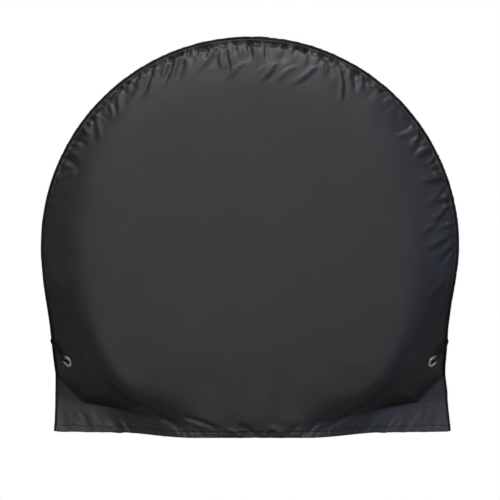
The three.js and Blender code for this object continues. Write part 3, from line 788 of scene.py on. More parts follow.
# ---- tie cords ------------------------------------------------------------------------
# The right cord from its stopper knot behind the grommet to its end knot below the lock.
CORD_ROUTE = [
    (318.9, -32.6, -201.7), (321.2, -35.5, -204.9), (322.9, -37.7, -207.1),
    (324.8, -39.6, -208.5), (328.3, -42.3, -209.4), (330.7, -43.8, -209),
    (332.9, -44.9, -208), (335.1, -45.6, -206.4), (336.8, -45.9, -204.3),
    (340.3, -46.1, -199.1), (343.6, -45.8, -193.4), (347.1, -45.9, -187.4),
    (353, -46, -181.2), (358.6, -42.8, -176), (362.4, -35, -171.8),
    (362.8, -18, -166.3), (362.7, 4, -160.2), (362.7, 26, -154.6), (362.8, 47, -150.2),
    (361.7, 64, -147.6), (357.6, 80, -145.6), (348.6, 98.2, -144), (334, 112.6, -143),
    (318, 119.6, -142.8), (303, 121.3, -143.6), (284, 121.5, -145.5),
    (214, 121.5, -154.6), (142, 121.5, -164.5), (76, 121.5, -173.6), (36, 121.5, -179.1),
    (18, 121.5, -181.9), (11, 121.5, -183.7), (6, 121.5, -187.3), (3.4, 121.5, -192.6),
    (2.6, 121.5, -199), (2.6, 121.5, -213), (3.1, 121.5, -223), (4.4, 121.5, -237),
    (6, 121.5, -254), (7.2, 121.5, -270), (7.8, 121.5, -283),
]
CORD_STRANDS = 8
BRAID_PITCH = 7.2
STOPPER_KNOT = (7.2, 2.3)    # a knot's radius and its cord's
END_KNOT = (6.2, 2.1)
END_TAIL = 5.0


def braided(along, angle):
    """A cord's radius where its strands cross."""
    turn = 2 * math.pi * along / BRAID_PITCH
    first = np.abs(np.sin((CORD_STRANDS * angle + turn * 2) / 2))
    second = np.abs(np.sin((CORD_STRANDS * angle - turn * 2) / 2))
    return CORD_RADIUS * (0.93 + 0.09 * np.maximum(first, second))


def overhand_knot(name, centre, radius, cord_radius, axis, tail=0.0):
    """A tight overhand knot: a three-lobed loop about an axis."""
    t = np.linspace(0, 2 * math.pi, 72, endpoint=False)
    loop = (radius - cord_radius) / 3 * np.stack([
        np.sin(t) + 2 * np.sin(2 * t), np.cos(t) - 2 * np.cos(2 * t), -1.178 * np.sin(3 * t)
    ], -1)
    axis = np.array(axis, float) / np.linalg.norm(axis)
    side = np.cross(axis, (0.3, 0.5, 0.8))
    side /= np.linalg.norm(side)
    loop = loop @ np.array([side, np.cross(axis, side), axis]) + centre
    closed = np.vstack([loop[-1], loop, loop[0]])
    sides = 16
    rings, uv = tube(closed, lambda s, a: braided(s, a) * cord_radius / CORD_RADIUS, sides)
    inner = slice(sides, -sides)
    faces = grid_faces(len(loop), sides, closed_rows=True, closed_cols=True)
    knot = make_object(name, rings.reshape(-1, 3)[inner], faces, [CORD], uv=uv[inner])
    recalculate(knot)
    if not tail:
        return [knot]
    path = centre + axis * np.linspace(0, radius + tail, 14)[:, None]

    def tapered(s, a):
        return braided(s, a) * (1 - 0.55 * ease((s - radius - tail + 2.5) / 2.5))

    rings, uv = tube(path, tapered, sides)
    return [knot, lofted(name + "_tip", rings, [CORD], uv=uv)]


CORD_SINK = 3.0      # how far the taut cord presses into the side band
SIDE_RUN = (14, 20)  # the route's points that lie on it


def on_cord_line(y):
    """The height at which the cord crosses the side band."""
    first, last = SIDE_RUN
    run = np.array(CORD_ROUTE)[first - 1:last + 3]
    return np.interp(y, run[:, 1], run[:, 2])


def tie_cord(side, word):
    route = np.array(CORD_ROUTE) * (side, 1, 1)
    first, last = SIDE_RUN
    index = np.arange(len(route))
    hug = np.minimum(ease((index - first + 2.5) / 2.5), ease((last + 2.5 - index) / 2.5))
    inward = side_half_width(route[:, 2], side) - SIDE_HALF_WIDTH - CORD_SINK
    route[:, 0] += side * hug * inward
    path = smooth_path(route, 1.2)
    rings, uv = tube(path, braided, 24)
    cord = lofted(f"{word}_tie_cord_braid", rings, [CORD], uv=uv)
    stopper = overhand_knot(
        f"{word}_stopper_knot", route[0], *STOPPER_KNOT, route[0] - route[3]
    )
    end = overhand_knot(
        f"{word}_end_knot", route[-1], *END_KNOT, route[-1] - route[-2], END_TAIL
    )
    stands_for(cord, f"{word}_tie_cord", "braided_cord")
    for piece in (*stopper, *end):
        stands_for(piece, None, "braided_cord")
    round(float(distances(path)[-1]) * MM, 3)


tie_cord(-1, "left")
tie_cord(1, "right")


# ---- stitching ------------------------------------------------------------------------
STITCH = 3.2
STITCH_PITCH = 4.2
THREAD_RADIUS = 0.42
BAND_STITCH = 2.5     # a hem band's upper row, below its top edge
SEAM_STITCH = 7       # a side band's rows, from its seam and from its rear edge
REAR_STITCH = 3
CROWN_STITCHES = {"outer": 2.5, "inner": 6.5}   # and at the crown's ends
STITCH_SHARES = (0, 0.15, 0.5, 0.85, 1)
STITCH_RISE = (-0.5, 0.1, 0.22, 0.1, -0.5)   # height over the cloth at those shares


def grid_line(grid, normals, places):
    """Points and normals on a grid, at a fractional row in each column."""
    low = np.clip(np.asarray(places).astype(int), 0, len(grid) - 2)
    share = (places - low)[:, None]
    columns = np.arange(grid.shape[1])
    return (
        lerp(grid[low, columns], grid[low + 1, columns], share),
        lerp(normals[low, columns], normals[low + 1, columns], share),
    )


def stitches(name, points, normals):
    """A row of stitches along a line on the cloth, each with its ends sunk into it."""
    far = distances(points)
    count = int((far[-1] - STITCH - 2) / STITCH_PITCH)
    shares = np.array(STITCH_SHARES)
    places = 1 + STITCH_PITCH * np.arange(count)[:, None] + STITCH * shares
    centre, out = (
        np.stack([np.interp(places, far, values[:, axis]) for axis in range(3)], -1)
        for values in (points, normals)
    )
    out /= np.linalg.norm(out, axis=-1, keepdims=True)
    centre += out * np.array(STITCH_RISE)[:, None]
    across = np.cross(centre[:, -1] - centre[:, 0], out[:, 2])
    across /= np.linalg.norm(across, axis=-1, keepdims=True)
    sides = 5
    angle = np.linspace(0, 2 * math.pi, sides, endpoint=False)[:, None]
    ring = np.cos(angle) * across[:, None, None] + np.sin(angle) * out[:, :, None]
    rings = centre[:, :, None] + THREAD_RADIUS * ring
    step = len(shares) * sides
    wall = grid_faces(len(shares), sides, closed_cols=True)
    caps = (tuple(range(sides)), tuple(range(step - sides, step)))
    faces = []
    for first in range(0, count * step, step):
        faces += [tuple(f) for f in wall + first]
        faces += [tuple(i + first for i in cap) for cap in caps]
    turn = np.broadcast_to(THREAD_RADIUS * angle[:, 0], (count, len(shares), sides))
    uv = np.stack([np.broadcast_to(places[..., None], turn.shape), turn], -1)
    row = make_object(name, rings.reshape(-1, 3), faces, [THREAD], uv=uv.reshape(-1, 2))
    recalculate(row)
    stands_for(row, None, "binding_tape")


# ---- front panel ----------------------------------------------------------------------
SLOPE_RINGS = 34
DISC_RINGS = 16
FLAP_COLUMNS = 20
LOWER_COLUMNS = 96
SEAM_COLUMNS = 640


def lower_columns(crease, corner_left, corner_right):
    """x along a lower edge, from the right corner to the left."""
    inner = np.linspace(1, -1, 2 * LOWER_COLUMNS + 1) * crease
    outer = np.linspace(1, 0, FLAP_COLUMNS, endpoint=False)
    right = crease + (corner_right - crease) * outer
    left = -(crease + (corner_left - crease) * outer[::-1])
    return np.concatenate([right, inner, left])


def band_crease_x():
    """Where the crease meets the band's top line."""
    x = CORNER_X
    for _ in range(12):
        x = crease_x(band_top_z(x))
    return x


TOP_LINE = lower_columns(
    band_crease_x(), *(edge_x(side, HEM_Z + CORNER_BAND) for side in (-1, 1))
)
HEM_LINE = lower_columns(CREASE_HEM_X, *(edge_x(side, HEM_Z) for side in (-1, 1)))
SKIRT_ROWS = 30


def skirt_rows():
    """Rows of the skirt, from the band's top line down to the hem."""
    top_z = band_top_z(TOP_LINE)
    top = np.stack([TOP_LINE, band_top_y(TOP_LINE, top_z), top_z], -1)
    hem = np.stack([HEM_LINE, hem_y(HEM_LINE), np.full_like(HEM_LINE, HEM_Z)], -1)
    rows = lerp(top, hem, np.linspace(0, 1, SKIRT_ROWS)[:, None, None])
    # Its ends follow the side seams.
    for side, column in ((1, 0), (-1, -1)):
        end = rows[:, column].copy()
        near = 1 - ease(np.abs(rows[..., 0] - end[:, :1]) / 70)
        rows += near[..., None] * (side_edge(side, end[:, 2]) - end)[:, None]
    return rows


SKIRT = skirt_rows()
SKIRT_FACES, SKIRT_NORMALS = grid_surface(SKIRT, (0, -1, 0))


def skirt_height(points):
    """The puckers of the band and the panel behind it, which are sewn together."""
    x, z = points[..., 0], points[..., 2]
    inside = ease((CORNER_X - 2 - np.abs(x)) / 12)
    return (hem_puckers(x, z) * ease((band_top_z(x) - z) / 6) + lower_folds(x, z)) * inside


BAND_PROUD = 0.04    # the hem bands press the cloth behind them in, and stand this proud


def under_band(below):
    """How far the cloth is pressed in at a distance below a hem band's top edge."""
    return (CLOTH + LAYER_GAP) * ease(below / 3)


GROMMETS = {side: np.array((side * 329.82, -42.80, -208.13)) for side in (-1, 1)}
PANEL_HOLE = 8.4     # radius of the hole that each is set in
PATCH_HOLE = 8.2
FLAT_ROUND_GROMMET = 14


def grommet_distance(points):
    """How far points are from the nearer grommet."""
    return np.minimum(*(np.linalg.norm(points - place, axis=-1) for place in GROMMETS.values()))


EASE_ROUND = 20      # the distance round the wheel over which the face evens out


def eased_depth(edge, radius, depth):
    """Evens out the face's depth round the wheel, so that corners of its edge don't show."""
    rays = face_rays(edge)
    angle = np.arctan2(edge[:, 2], edge[:, 0])
    offsets = np.linspace(-2.2, 2.2, 13)
    weights = np.exp(-(offsets**2) / 2)
    even = 0
    for offset, weight in zip(offsets, weights / weights.sum()):
        turned = angle[None, :] + offset * EASE_ROUND / radius
        near = [np.interp(turned, angle, values, period=2 * math.pi) for values in rays]
        even = even + weight * face_depth(radius, *near)
    return lerp(depth, even, ease((rays[0][None, :] - radius - 22) / 34))


def face_grid():
    """The face in rings, from the disc out to the seam and the hem band's top line.

    Returns them, their edge before it is folded, and how much of it is in the seam.
    """
    side_g = np.linspace(-BAND_G, BAND_G, SEAM_COLUMNS)
    sewn = SEAM_COLUMNS
    edge = np.vstack([Girth(side_g).panel_edge(), SKIRT[0, 1:-1]])
    reach = np.hypot(edge[:, 0], edge[:, 2])
    # Rings are closest at the seam, where the gathers are finest.
    slope = 1 - (1 - np.linspace(0, 1, SLOPE_RINGS)) ** 1.35
    disc = 1 - (1 - np.linspace(0.06, 1, DISC_RINGS, endpoint=False)) ** 1.8
    radii = np.concatenate([
        FACE_RADIUS * np.repeat(disc[:, None], len(edge), 1),
        FACE_RADIUS + (reach - FACE_RADIUS) * slope[:, None],
    ])
    grid = face_points(np.repeat(edge[None], len(radii), 0), radii)
    grid[..., 1] = eased_depth(edge, radii, grid[..., 1])
    x, z = grid[..., 0], grid[..., 2]
    rho = reach - radii
    faces = grid_faces(*radii.shape, closed_cols=True)[:, ::-1]
    normals = point_normals(grid.reshape(-1, 3), faces).reshape(grid.shape)
    # Beside the hem band the folds rise in the band's direction.
    by_band = ease(rho[:, sewn:] / 20)[..., None]
    normals[:, sewn:] = lerp(SKIRT_NORMALS[0, 1:-1], normals[:, sewn:], by_band)
    g = np.concatenate([side_g, np.full(len(edge) - sewn, BAND_G)])
    height = face_folds(np.repeat(g[None], len(radii), 0), rho) * ease((BAND_G - np.abs(g)) / 70)
    sag = 0.9 * noise2(x / 150, z / 150, 61) + 0.08 * noise2(x / 45, z / 45, 62)
    lower_soft = 0.8 * noise2(x / 30, z / 40, 63) * ease((-150 - z) / 60)
    height += (sag + lower_soft) * ease(rho / 25)
    height[:, sewn:] *= ease((z - band_top_z(x)) / 14)[:, sewn:]
    height *= ease((grommet_distance(grid) - FLAT_ROUND_GROMMET) / 20)
    height += lower_folds(x, z)
    return grid + normals * height[..., None], edge, sewn


PANEL_TURN = ((0.3, 1.3), (0.9, 2.9))   # the panel's edge turns in by these, and back by these


def front_panel():
    grid, edge, sewn = face_grid()
    rows, cols = grid.shape[:2]
    ring = np.arange(cols)
    points = [grid.reshape(-1, 3), np.array([(0, grid[0, :, 1].mean(), 0)])]
    faces = [
        grid_faces(rows, cols, closed_cols=True)[:, ::-1],
        np.stack([np.full(cols, rows * cols), np.roll(ring, -1), ring, ring], -1),
    ]

    def join(above, row):
        """Adds a row of points and the faces between it and another."""
        here = sum(map(len, points)) + np.arange(len(row))
        points.append(row)
        faces.append(np.stack([above[:-1], above[1:], here[1:], here[:-1]], -1))
        return here

    last = (rows - 1) * cols
    outward = edge[:sewn] * (1, 0, 1) / np.hypot(edge[:sewn, 0], edge[:sewn, 2])[:, None]
    above = last + np.arange(sewn)
    for inward, back in PANEL_TURN:
        above = join(above, grid[-1, :sewn] - inward * outward + (0, back, 0))
    # The skirt, under the hem band.
    height = skirt_height(SKIRT) - under_band(band_top_z(SKIRT[..., 0]) - SKIRT[..., 2])
    above = last + np.array([sewn - 1, *range(sewn, cols), 0])
    ends = [above[[0, -1]]]
    for row in (SKIRT + SKIRT_NORMALS * height[..., None])[1:]:
        above = join(above, row)
        ends.append(above[[0, -1]])
    # Its ends turn into the side seams as well.
    inward, back = PANEL_TURN[-1]
    for side, seam in zip((1, -1), np.array(ends).T):
        join(seam[::side], np.vstack(points)[seam[::side]] + (-inward * side, back, 0))
    points, faces = np.vstack(points), np.vstack(faces)
    faces = faces[grommet_distance(points[faces].mean(1)) > PANEL_HOLE]
    normals = point_normals(points, faces)
    seam = grid[:, :sewn]
    stitches("panel_seam_stitches", *grid_line(
        seam, normals[:rows * cols].reshape(grid.shape)[:, :sewn],
        rows - 1 - 3 / np.linalg.norm(seam[-1] - seam[-2], axis=1),
    ))
    piece = cloth_piece(
        "front_panel_cloth", points, faces, [OUTSIDE, INSIDE], points[:, (0, 2)], normals=normals
    )
    stands_for(
        piece, "front_panel", "coated_cloth", flat=(0.79, 0.76), area=0.50, held="stretched"
    )


front_panel()


# ---- hem band of the front ------------------------------------------------------------
def front_hem_band():
    moved = SKIRT + SKIRT_NORMALS * skirt_height(SKIRT)[..., None]
    outside = moved + SKIRT_NORMALS * BAND_PROUD
    height = SKIRT[0, :, 2] - HEM_Z
    for name, drop in (("band_top_stitches", BAND_STITCH), ("hem_stitches", height - HEM_STITCH)):
        places = drop / height * (SKIRT_ROWS - 1)
        stitches(name, *grid_line(outside, SKIRT_NORMALS, places))
    piece = cloth_piece(
        "front_hem_band_cloth", moved, SKIRT_FACES, [BAND_PAINTED_LIGHT, INSIDE],
        SKIRT.reshape(-1, 3)[:, (0, 2)], BAND_PROUD, BAND_PROUD - CLOTH,
    )
    stands_for(
        piece, "front_hem_band", "coated_cloth", flat=(0.80, 0.058), area=0.028, held="stretched"
    )


front_hem_band()


# ---- side band ------------------------------------------------------------------------
SIDE_PROFILE_FRONT = np.linspace(-14, 90, 12)
SIDE_MIDDLE = 22
SIDE_REAR = np.linspace(0, 90, 22)
REAR_LAP = 1.8      # the rear edge runs into the elastic's casing


def side_section(st):
    """Rows of points from the seam back to the rear edge, with the length along each."""
    front, rear = (np.radians(turn)[:, None] for turn in (SIDE_PROFILE_FRONT, SIDE_REAR))
    middle = np.linspace(0, 1, SIDE_MIDDLE + 1, endpoint=False)[1:, None]
    start = st.seam + FRONT_TURN_DEPTH
    rows = np.concatenate([
        st.point(SEAM_INSET * (np.sin(front) - 1), start - FRONT_TURN_DEPTH * np.cos(front)),
        st.point(0, lerp(start, REAR_TURN_Y, middle)),
        st.point(
            st.inset * (np.cos(rear) - 1), REAR_TURN_Y + (REAR_Y - REAR_TURN_Y) * np.sin(rear)
        ),
        st.point(-st.inset - REAR_LAP, REAR_Y)[None],
    ])
    steps = np.linalg.norm(np.diff(rows, axis=0), axis=2)
    return rows, np.concatenate([np.zeros((1, rows.shape[1])), np.cumsum(steps, axis=0)])


def side_folds(g, y, along):
    """Wrinkles of the side band: soft across it, gathered towards the elastic."""
    left = along[-1] - along
    warp = 5 * noise2(g / 40, along / 35, 71)
    gathered = ease((78 - left) / 74)
    pleats = noise1((g + warp) / 8.5, 72) * 0.65 + noise1((g + warp) / 4.6, 73) * 0.35
    broad = noise2((g + warp) / 26, along / 60, 74) * ease(along / 25) * ease(left / 8)
    seam_side = noise1((g + warp * 0.4) / 4.2, 75) * ease(along / 5) * (1 - ease((along - 9) / 22))
    strength = gather_strength(np.clip(g, -HALF_ARCH, HALF_ARCH))
    z = HALF_ARCH - np.abs(g)
    dent = bump(z - on_cord_line(y), 0, 5.5) * ease((-100 - z) / 20)
    pleats *= lerp(0.35, 1, ease(left / 9))
    height = 3.0 * gathered**1.6 * pleats + 0.8 * broad - 0.2 + 0.5 * strength * seam_side
    return height - CORD_SINK * dent


def side_surface(g):
    """The side band's cloth over girth coordinates g.

    Its points and normals are in rows from the front seam to the rear edge. The lengths
    along its columns, its faces and its layout come with them.
    """
    st = Girth(g)
    rows, along = side_section(st)
    faces, normals = grid_surface(rows, rows * (1, 0, 1))
    height = side_folds(g, rows[..., 1], along) * ease(along / 4)
    height *= np.where(np.abs(g) > HALF_ARCH, lerp(0.35, 1, ease((st.z - HEM_Z) / 30)), 1)
    layout = np.stack(np.broadcast_arrays(g, along), -1).reshape(-1, 2)
    return rows + normals * height[..., None], normals, along, faces, layout


SEAM_LAP = 9         # the side bands run in behind the crown's ends
CROWN_RISE = 16      # over which they come out from behind it
SIDE_COLUMN = 2.4


def side_panel(node, g_from, g_to, flat, area):
    count = int((g_to - g_from) / SIDE_COLUMN)
    g = np.linspace(g_from, g_to, count)
    points, normals, along, faces, layout = side_surface(g)
    crown = node == "side_band_crown"
    if not crown:
        covered = ease((SPLIT_G + CROWN_RISE - np.abs(g)) / CROWN_RISE)
        behind_crown = (CLOTH + LAYER_GAP) * covered
        sunk = behind_crown + under_band(np.abs(g) - BAND_G)
        points = points - normals * sunk[:, None]
    for row, distance in (("seam", SEAM_STITCH), ("rear", along[-1].min() - REAR_STITCH)):
        place = [np.interp(distance, column, np.arange(len(points))) for column in along.T]
        stitches(f"{node}_{row}_stitches", *grid_line(points, normals, np.array(place)))
    columns = points.swapaxes(0, 1), normals.swapaxes(0, 1)
    for word, end in (("left", 0), ("right", 1)) if crown else ():
        for row, distance in CROWN_STITCHES.items():
            from_end = distance * (count - 1) / (g_to - g_from)
            place = np.full(len(points), abs(end * (count - 1) - from_end))
            stitches(f"crown_{word}_{row}_stitches", *grid_line(*columns, place))
    piece = cloth_piece(f"{node}_cloth", points, faces, [SIDE_PAINTED_SHADE, INSIDE], layout)
    stands_for(piece, node, "coated_cloth", flat=flat, area=area, held="gathered")


side_panel("side_band_crown", -SPLIT_G, SPLIT_G, (0.82, 0.26), 0.20)
side_panel("side_band_left", -HEM_G, SEAM_LAP - SPLIT_G, (0.53, 0.26), 0.118)
side_panel("side_band_right", SPLIT_G - SEAM_LAP, HEM_G, (0.53, 0.26), 0.118)


def side_hem_band(side, node):
    fall = np.linspace(BAND_G - 2, HEM_G, 26)
    points, normals, _, faces, layout = side_surface(side * fall)
    outside = points + normals * BAND_PROUD
    columns = outside.swapaxes(0, 1), normals.swapaxes(0, 1)
    for row, distance in (("top", fall[0] + BAND_STITCH), ("hem", HEM_G - HEM_STITCH)):
        place = np.full(len(points), np.interp(distance, fall, np.arange(len(fall))))
        stitches(f"{node}_{row}_stitches", *grid_line(*columns, place))
    piece = cloth_piece(
        f"{node}_cloth", points, faces, [BAND_PAINTED_LIGHT, INSIDE], layout,
        BAND_PROUD, BAND_PROUD - CLOTH, normals,
    )
    stands_for(piece, node, "coated_cloth", flat=(0.175, 0.058), area=0.0095, held="stretched")


side_hem_band(-1, "side_hem_band_left")
side_hem_band(1, "side_hem_band_right")


# ---- trims along the girth ------------------------------------------------------------
def along_girth(section, step):
    """Rings of points and their layout: section takes the girth and gives (out, y) round it."""
    st = Girth(np.linspace(-HEM_G, HEM_G, int(2 * HEM_G / step)))
    rings = np.stack([st.point(out, y) for out, y in section(st)], 1)
    steps = np.cumsum(np.linalg.norm(np.diff(rings, axis=1), axis=2), axis=1)
    turn = np.concatenate([np.zeros((len(rings), 1)), steps], axis=1)
    return rings, np.stack(np.broadcast_arrays(st.g[:, None], turn), -1).reshape(-1, 2)


def trim(name, section, step, material, node, slot):
    rings, layout = along_girth(section, step)
    stands_for(lofted(name, rings, [material], uv=layout), node, slot)


def rectangle(width, depth):
    return [(x * width / 2, y * depth / 2) for x, y in ((-1, -1), (1, -1), (1, 1), (-1, 1))]


def piping_section(st):
    angle = np.linspace(0, 2 * math.pi, 14, endpoint=False)
    radius = PIPING_RADIUS + 0.10 * noise1(st.g / 5, 81) + 0.06 * noise1(st.g / 2.3, 82)
    wander = 0.35 * noise1(st.g / 12, 83)
    return [
        (-SEAM_INSET + wander + radius * math.cos(a), st.seam + radius * math.sin(a))
        for a in angle
    ]


trim("perimeter_piping_cloth", piping_section, 1.6, PIPING_PAINTED_SHADE, "perimeter_piping", "coated_cloth")

BINDING_WIDTH = 8
BINDING_MIDDLE = 8.6     # from the piping's middle, inwards along the binding
BINDING_THICKNESS = 1.8


def binding_section(st):
    slant = math.sqrt(0.5)
    wave = 0.25 * noise1(st.g / 14, 84)
    middle, seam = -SEAM_INSET - slant * BINDING_MIDDLE, st.seam + slant * BINDING_MIDDLE
    return [
        (middle - slant * (along + across + wave), seam + slant * (along - across - wave))
        for along, across in rounded(rectangle(BINDING_WIDTH, BINDING_THICKNESS), 0.8, 3)
    ]


trim("seam_binding_tape", binding_section, 3.0, TAPE, "seam_binding", "binding_tape")

CASING_WIDTH = 17
CASING_DEPTH = 5.4
CASING_WALL = 1.3
CASING_START = 1.2
CASING_Y = REAR_Y - CLOTH / 2
ELASTIC_WIDTH = 12
ELASTIC_THICKNESS = 1.8


def in_casing(st, outline, ruche=0):
    """An outline round the middle of the casing, ruched by the elastic or not."""
    middle = -st.inset - CASING_START - CASING_WIDTH / 2
    wave = ruche * (0.7 * noise1(st.g / 4.6, 85) + 0.4 * noise1(st.g / 2.6, 86))
    return [
        (middle + across * (1 + 0.05 * wave), CASING_Y + deep + wave * np.sign(deep) * 0.5)
        for across, deep in outline
    ]


def casing():
    """A tube with a wall, open at both ends."""
    outside = rounded(rectangle(CASING_WIDTH, CASING_DEPTH), 2.2, 4)
    inside = rounded(
        rectangle(CASING_WIDTH - 2 * CASING_WALL, CASING_DEPTH - 2 * CASING_WALL), 0.5, 4
    )
    outer, layout = along_girth(lambda st: in_casing(st, outside, ruche=1), 1.8)
    inner, _ = along_girth(lambda st: in_casing(st, inside), 1.8)
    rings, sides = outer.shape[:2]
    wall = grid_faces(rings, sides, closed_cols=True)
    faces = [wall, wall[:, ::-1] + rings * sides]
    for start in (0, (rings - 1) * sides):
        here = start + np.arange(sides)
        following = np.roll(here, -1)
        faces.append(np.stack(
            [here, following, following + rings * sides, here + rings * sides], -1
        ))
    piece = make_object(
        "rear_elastic_casing_cloth", np.vstack([outer, inner]).reshape(-1, 3),
        np.vstack(faces), [BAND_PAINTED_LIGHT], uv=np.vstack([layout, layout]),
    )
    recalculate(piece)
    stands_for(piece, "rear_elastic_casing", "coated_cloth")


casing()


def elastic_section(st):
    return in_casing(st, rounded(rectangle(ELASTIC_WIDTH, ELASTIC_THICKNESS), 0.6, 2))


trim("rear_elastic_strip", elastic_section, 4.0, ELASTIC, "rear_elastic", "elastic")


# ---- grommets -------------------------------------------------------------------------
def grommet_place(side):
    """Where a grommet is, and its axes: across, out of the cloth, and up the slope."""
    out = np.array((side * 0.633501, -0.625576, -0.455337))
    up = np.array((side * 0.5641, -0.0294, 0.8252))
    up -= out * (up @ out)
    up /= np.linalg.norm(up)
    return GROMMETS[side], np.array([np.cross(out, up), out, up])


EYELET_PROFILE = rounded([
    (6.35, -7.6), (8.6, -7.6), (8.6, -6.7), (6.85, -6.7), (6.85, 0.4), (12, 0.4),
    (11.8, 1.3), (10.6, 2.1), (8.4, 2.1), (6.9, 1.5), (6.35, 0.5),
], 0.7, 4)
WASHER_PROFILE = rounded([
    (7.2, -6.4), (11, -6.4), (11.75, -5.95), (11.75, -5.5), (7.2, -5.5),
], 0.3, 3)
PATCH_RISE = 26              # half the patch's height
PATCH_INWARD = (45, 13)      # and its width, in from the panel's edge
PATCH_TOP = -CLOTH - 1.8     # it lies behind the panel


def patch(side, node):
    edge = side_edge(side, GROMMET_RAY_Z + np.linspace(-PATCH_RISE, PATCH_RISE, 34)[:, None])
    inward = np.linspace(*PATCH_INWARD, 22)
    grid = face_points(edge, np.hypot(edge[..., 0], edge[..., 2]) - inward)
    faces, normals = grid_surface(grid, (0, -1, 0))
    base = grid.reshape(-1, 3)
    faces = faces[grommet_distance(base[faces].mean(1)) > PATCH_HOLE]
    piece = cloth_piece(
        f"{node}_cloth", base, faces, [INSIDE, INSIDE], base[:, (0, 2)],
        PATCH_TOP, PATCH_TOP - CLOTH, normals,
    )
    stands_for(piece, node, "binding_tape", flat=(0.036, 0.060), area=0.0021, held="stretched")


for side, word in ((-1, "left"), (1, "right")):
    patch(side, f"{word}_grommet_patch")
    for part, profile in (("eyelet", EYELET_PROFILE), ("washer", WASHER_PROFILE)):
        ring = lathe(f"{word}_{part}_nickel", profile, NICKEL, grommet_place(side))
        stands_for(ring, f"{word}_grommet_{part}", "nickel_plate")


# ---- cord lock ------------------------------------------------------------------------
def carve(obj, low, high):
    """Cuts a box with rounded edges out of an object, in millimetres about the lock."""
    cutter = bmesh.new()
    bmesh.ops.create_cube(cutter, size=1.0)
    centre = [(a + b) / 2 for a, b in zip(low, high)]
    for vertex in cutter.verts:
        vertex.co = [
            (c + v * (b - a) + o) * MM
            for c, v, a, b, o in zip(centre, vertex.co, low, high, LOCK_CENTRE)
        ]
    bmesh.ops.bevel(
        cutter, geom=cutter.edges[:], offset=0.9 * MM, segments=4, affect="EDGES", profile=0.5
    )
    mesh = bpy.data.meshes.new("cutter")
    cutter.to_mesh(mesh)
    cutter.free()
    tool = new_object("cutter", mesh)
    modifier = obj.modifiers.new("cut", "BOOLEAN")
    modifier.object = tool
    modifier.solver = "EXACT"
    graph = bpy.context.evaluated_depsgraph_get()
    result = bpy.data.meshes.new_from_object(obj.evaluated_get(graph))
    obj.modifiers.clear()
    obj.data = result
    bpy.data.objects.remove(tool)


def lock_part(name, profile, slot_top, node, body):
    """A turned piece of the lock with a slot through it for the two cords."""
    piece = lathe(name, profile, PLASTIC, (np.array(LOCK_CENTRE, float), np.eye(3)), 72)
    carve(piece, (-5.2, -2.6, -15), (5.2, slot_top, 15))
    stands_for(piece, node, "lock_plastic", body)


LOCK_BODY = rounded([
    (0.01, -14.5), (8.3, -14.5), (9.5, -13.3), (9.5, -9.2), (9.1, -8.8), (9.1, -7.6), (9.5, -7.2),
    (9.5, 7.6), (9.1, 8.0), (9.1, 9.0), (9.5, 9.4), (9.5, 9.8), (8.9, 11), (7, 11), (7, -12.5),
    (0.01, -12.5),
], 0.35, 3)
LOCK_BUTTON = rounded([
    (0.01, -4.5), (6.6, -4.5), (6.6, 15.6), (8.2, 15.6), (8.2, 17.6), (7.2, 19), (5.2, 19),
    (4.6, 18.5), (0.01, 18.3),
], 0.35, 3)

lock_part("cord_lock_barrel", LOCK_BODY, 2.6, "cord_lock_body", "cover")
lock_part("cord_lock_plunger", LOCK_BUTTON, 6.6, "cord_lock_button", "lock_button")

SPRING_TURNS = 3
SPRING_PITCH = 2.2
SPRING_START = -11.8
COIL_RADIUS = 5
WIRE_RADIUS = 0.4
turns = np.linspace(0, SPRING_TURNS, 180)
angle = 2 * math.pi * turns
coil = np.stack([
    COIL_RADIUS * np.cos(angle), SPRING_START + SPRING_PITCH * turns, COIL_RADIUS * np.sin(angle)
], -1) + LOCK_CENTRE
rings, uv = tube(coil, lambda s, a: np.full((len(s), a.size), WIRE_RADIUS), 10)
spring = lofted("cord_lock_coil", rings, [STEEL], uv=uv)
stands_for(spring, "cord_lock_spring", "spring_steel")
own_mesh(spring)


# ---- stage ----------------------------------------------------------------------------
def shader_tree(owner):
    """The emptied node tree of a world or a material."""
    owner.use_nodes = True
    owner.node_tree.nodes.clear()
    return owner.node_tree


def white(tree, kind, level=1.0, colour=(1, 1, 1, 1)):
    node = tree.nodes.new(kind)
    node.inputs[0].default_value = colour
    node.inputs[1].default_value = level
    return node.outputs[0]


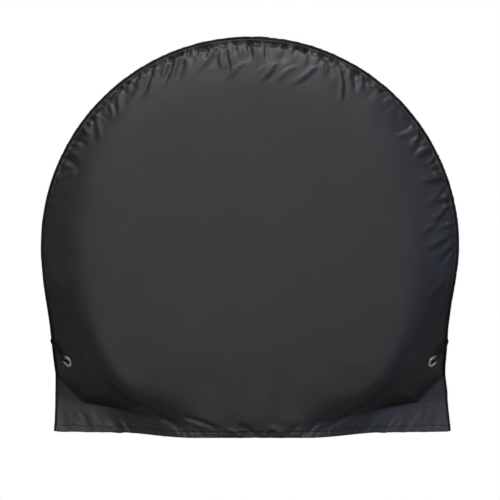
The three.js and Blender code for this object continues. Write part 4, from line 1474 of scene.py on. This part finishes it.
FLOOR_Z = -0.3685
FLOOR_SIZE = 12
glow = bpy.data.materials.new("pale_floor")
tree = shader_tree(glow)
output = tree.nodes.new("ShaderNodeOutputMaterial")
tree.links.new(white(tree, "ShaderNodeEmission"), output.inputs[0])
mesh = bpy.data.meshes.new("floor")
corners = ((-1, -1), (1, -1), (1, 1), (-1, 1))
mesh.from_pydata([(x * FLOOR_SIZE, y * FLOOR_SIZE, FLOOR_Z) for x, y in corners], [], [range(4)])
mesh.materials.append(glow)
floor = new_object("floor", mesh)
floor.visible_diffuse = False
floor.visible_glossy = False

# The camera sees a white world, and the cover is lit by a faint one.
world = bpy.data.worlds.new("studio")
bpy.context.scene.world = world
tree = shader_tree(world)
output = tree.nodes.new("ShaderNodeOutputWorld")
ray = tree.nodes.new("ShaderNodeLightPath")
mix = tree.nodes.new("ShaderNodeMixShader")
for source, socket in (
    (ray.outputs["Is Camera Ray"], mix.inputs[0]),
    (white(tree, "ShaderNodeBackground", 0.17, (0.93, 0.96, 1, 1)), mix.inputs[1]),
    (white(tree, "ShaderNodeBackground"), mix.inputs[2]),
    (mix.outputs[0], output.inputs[0]),
):
    tree.links.new(source, socket)


def area_light(name, location, aim, size, power, colour):
    data = bpy.data.lights.new(name, "AREA")
    data.shape = "RECTANGLE"
    data.size, data.size_y = size
    data.energy = power
    data.color = colour
    obj = new_object(name, data)
    obj.location = location
    obj.rotation_euler = (Vector(aim) - Vector(location)).to_track_quat("-Z", "Y").to_euler()


area_light("overhead", (0, -0.9, 2.9), (0, -0.05, 0), (3.0, 1.6), 66, (0.98, 0.96, 1))
area_light("front_top", (-0.3, -4.4, 2.3), (0, 0, 0), (3.8, 1.2), 60, (0.98, 0.96, 1))
area_light("front", (-0.3, -6.5, -0.2), (0, 0, 0), (2.6, 1.8), 46, (0.98, 0.96, 1))
area_light("right_side", (3.6, -3.2, 0.6), (0, 0, 0), (1.2, 2.0), 18, (0.35, 0.5, 1))
area_light("behind", (-1.2, 4.6, 1.6), (0, 0, 0), (3.0, 2.4), 40, (0.98, 0.97, 1))
bpy.context.scene.view_settings.view_transform = "Standard"
bpy.context.scene.view_settings.look = "None"
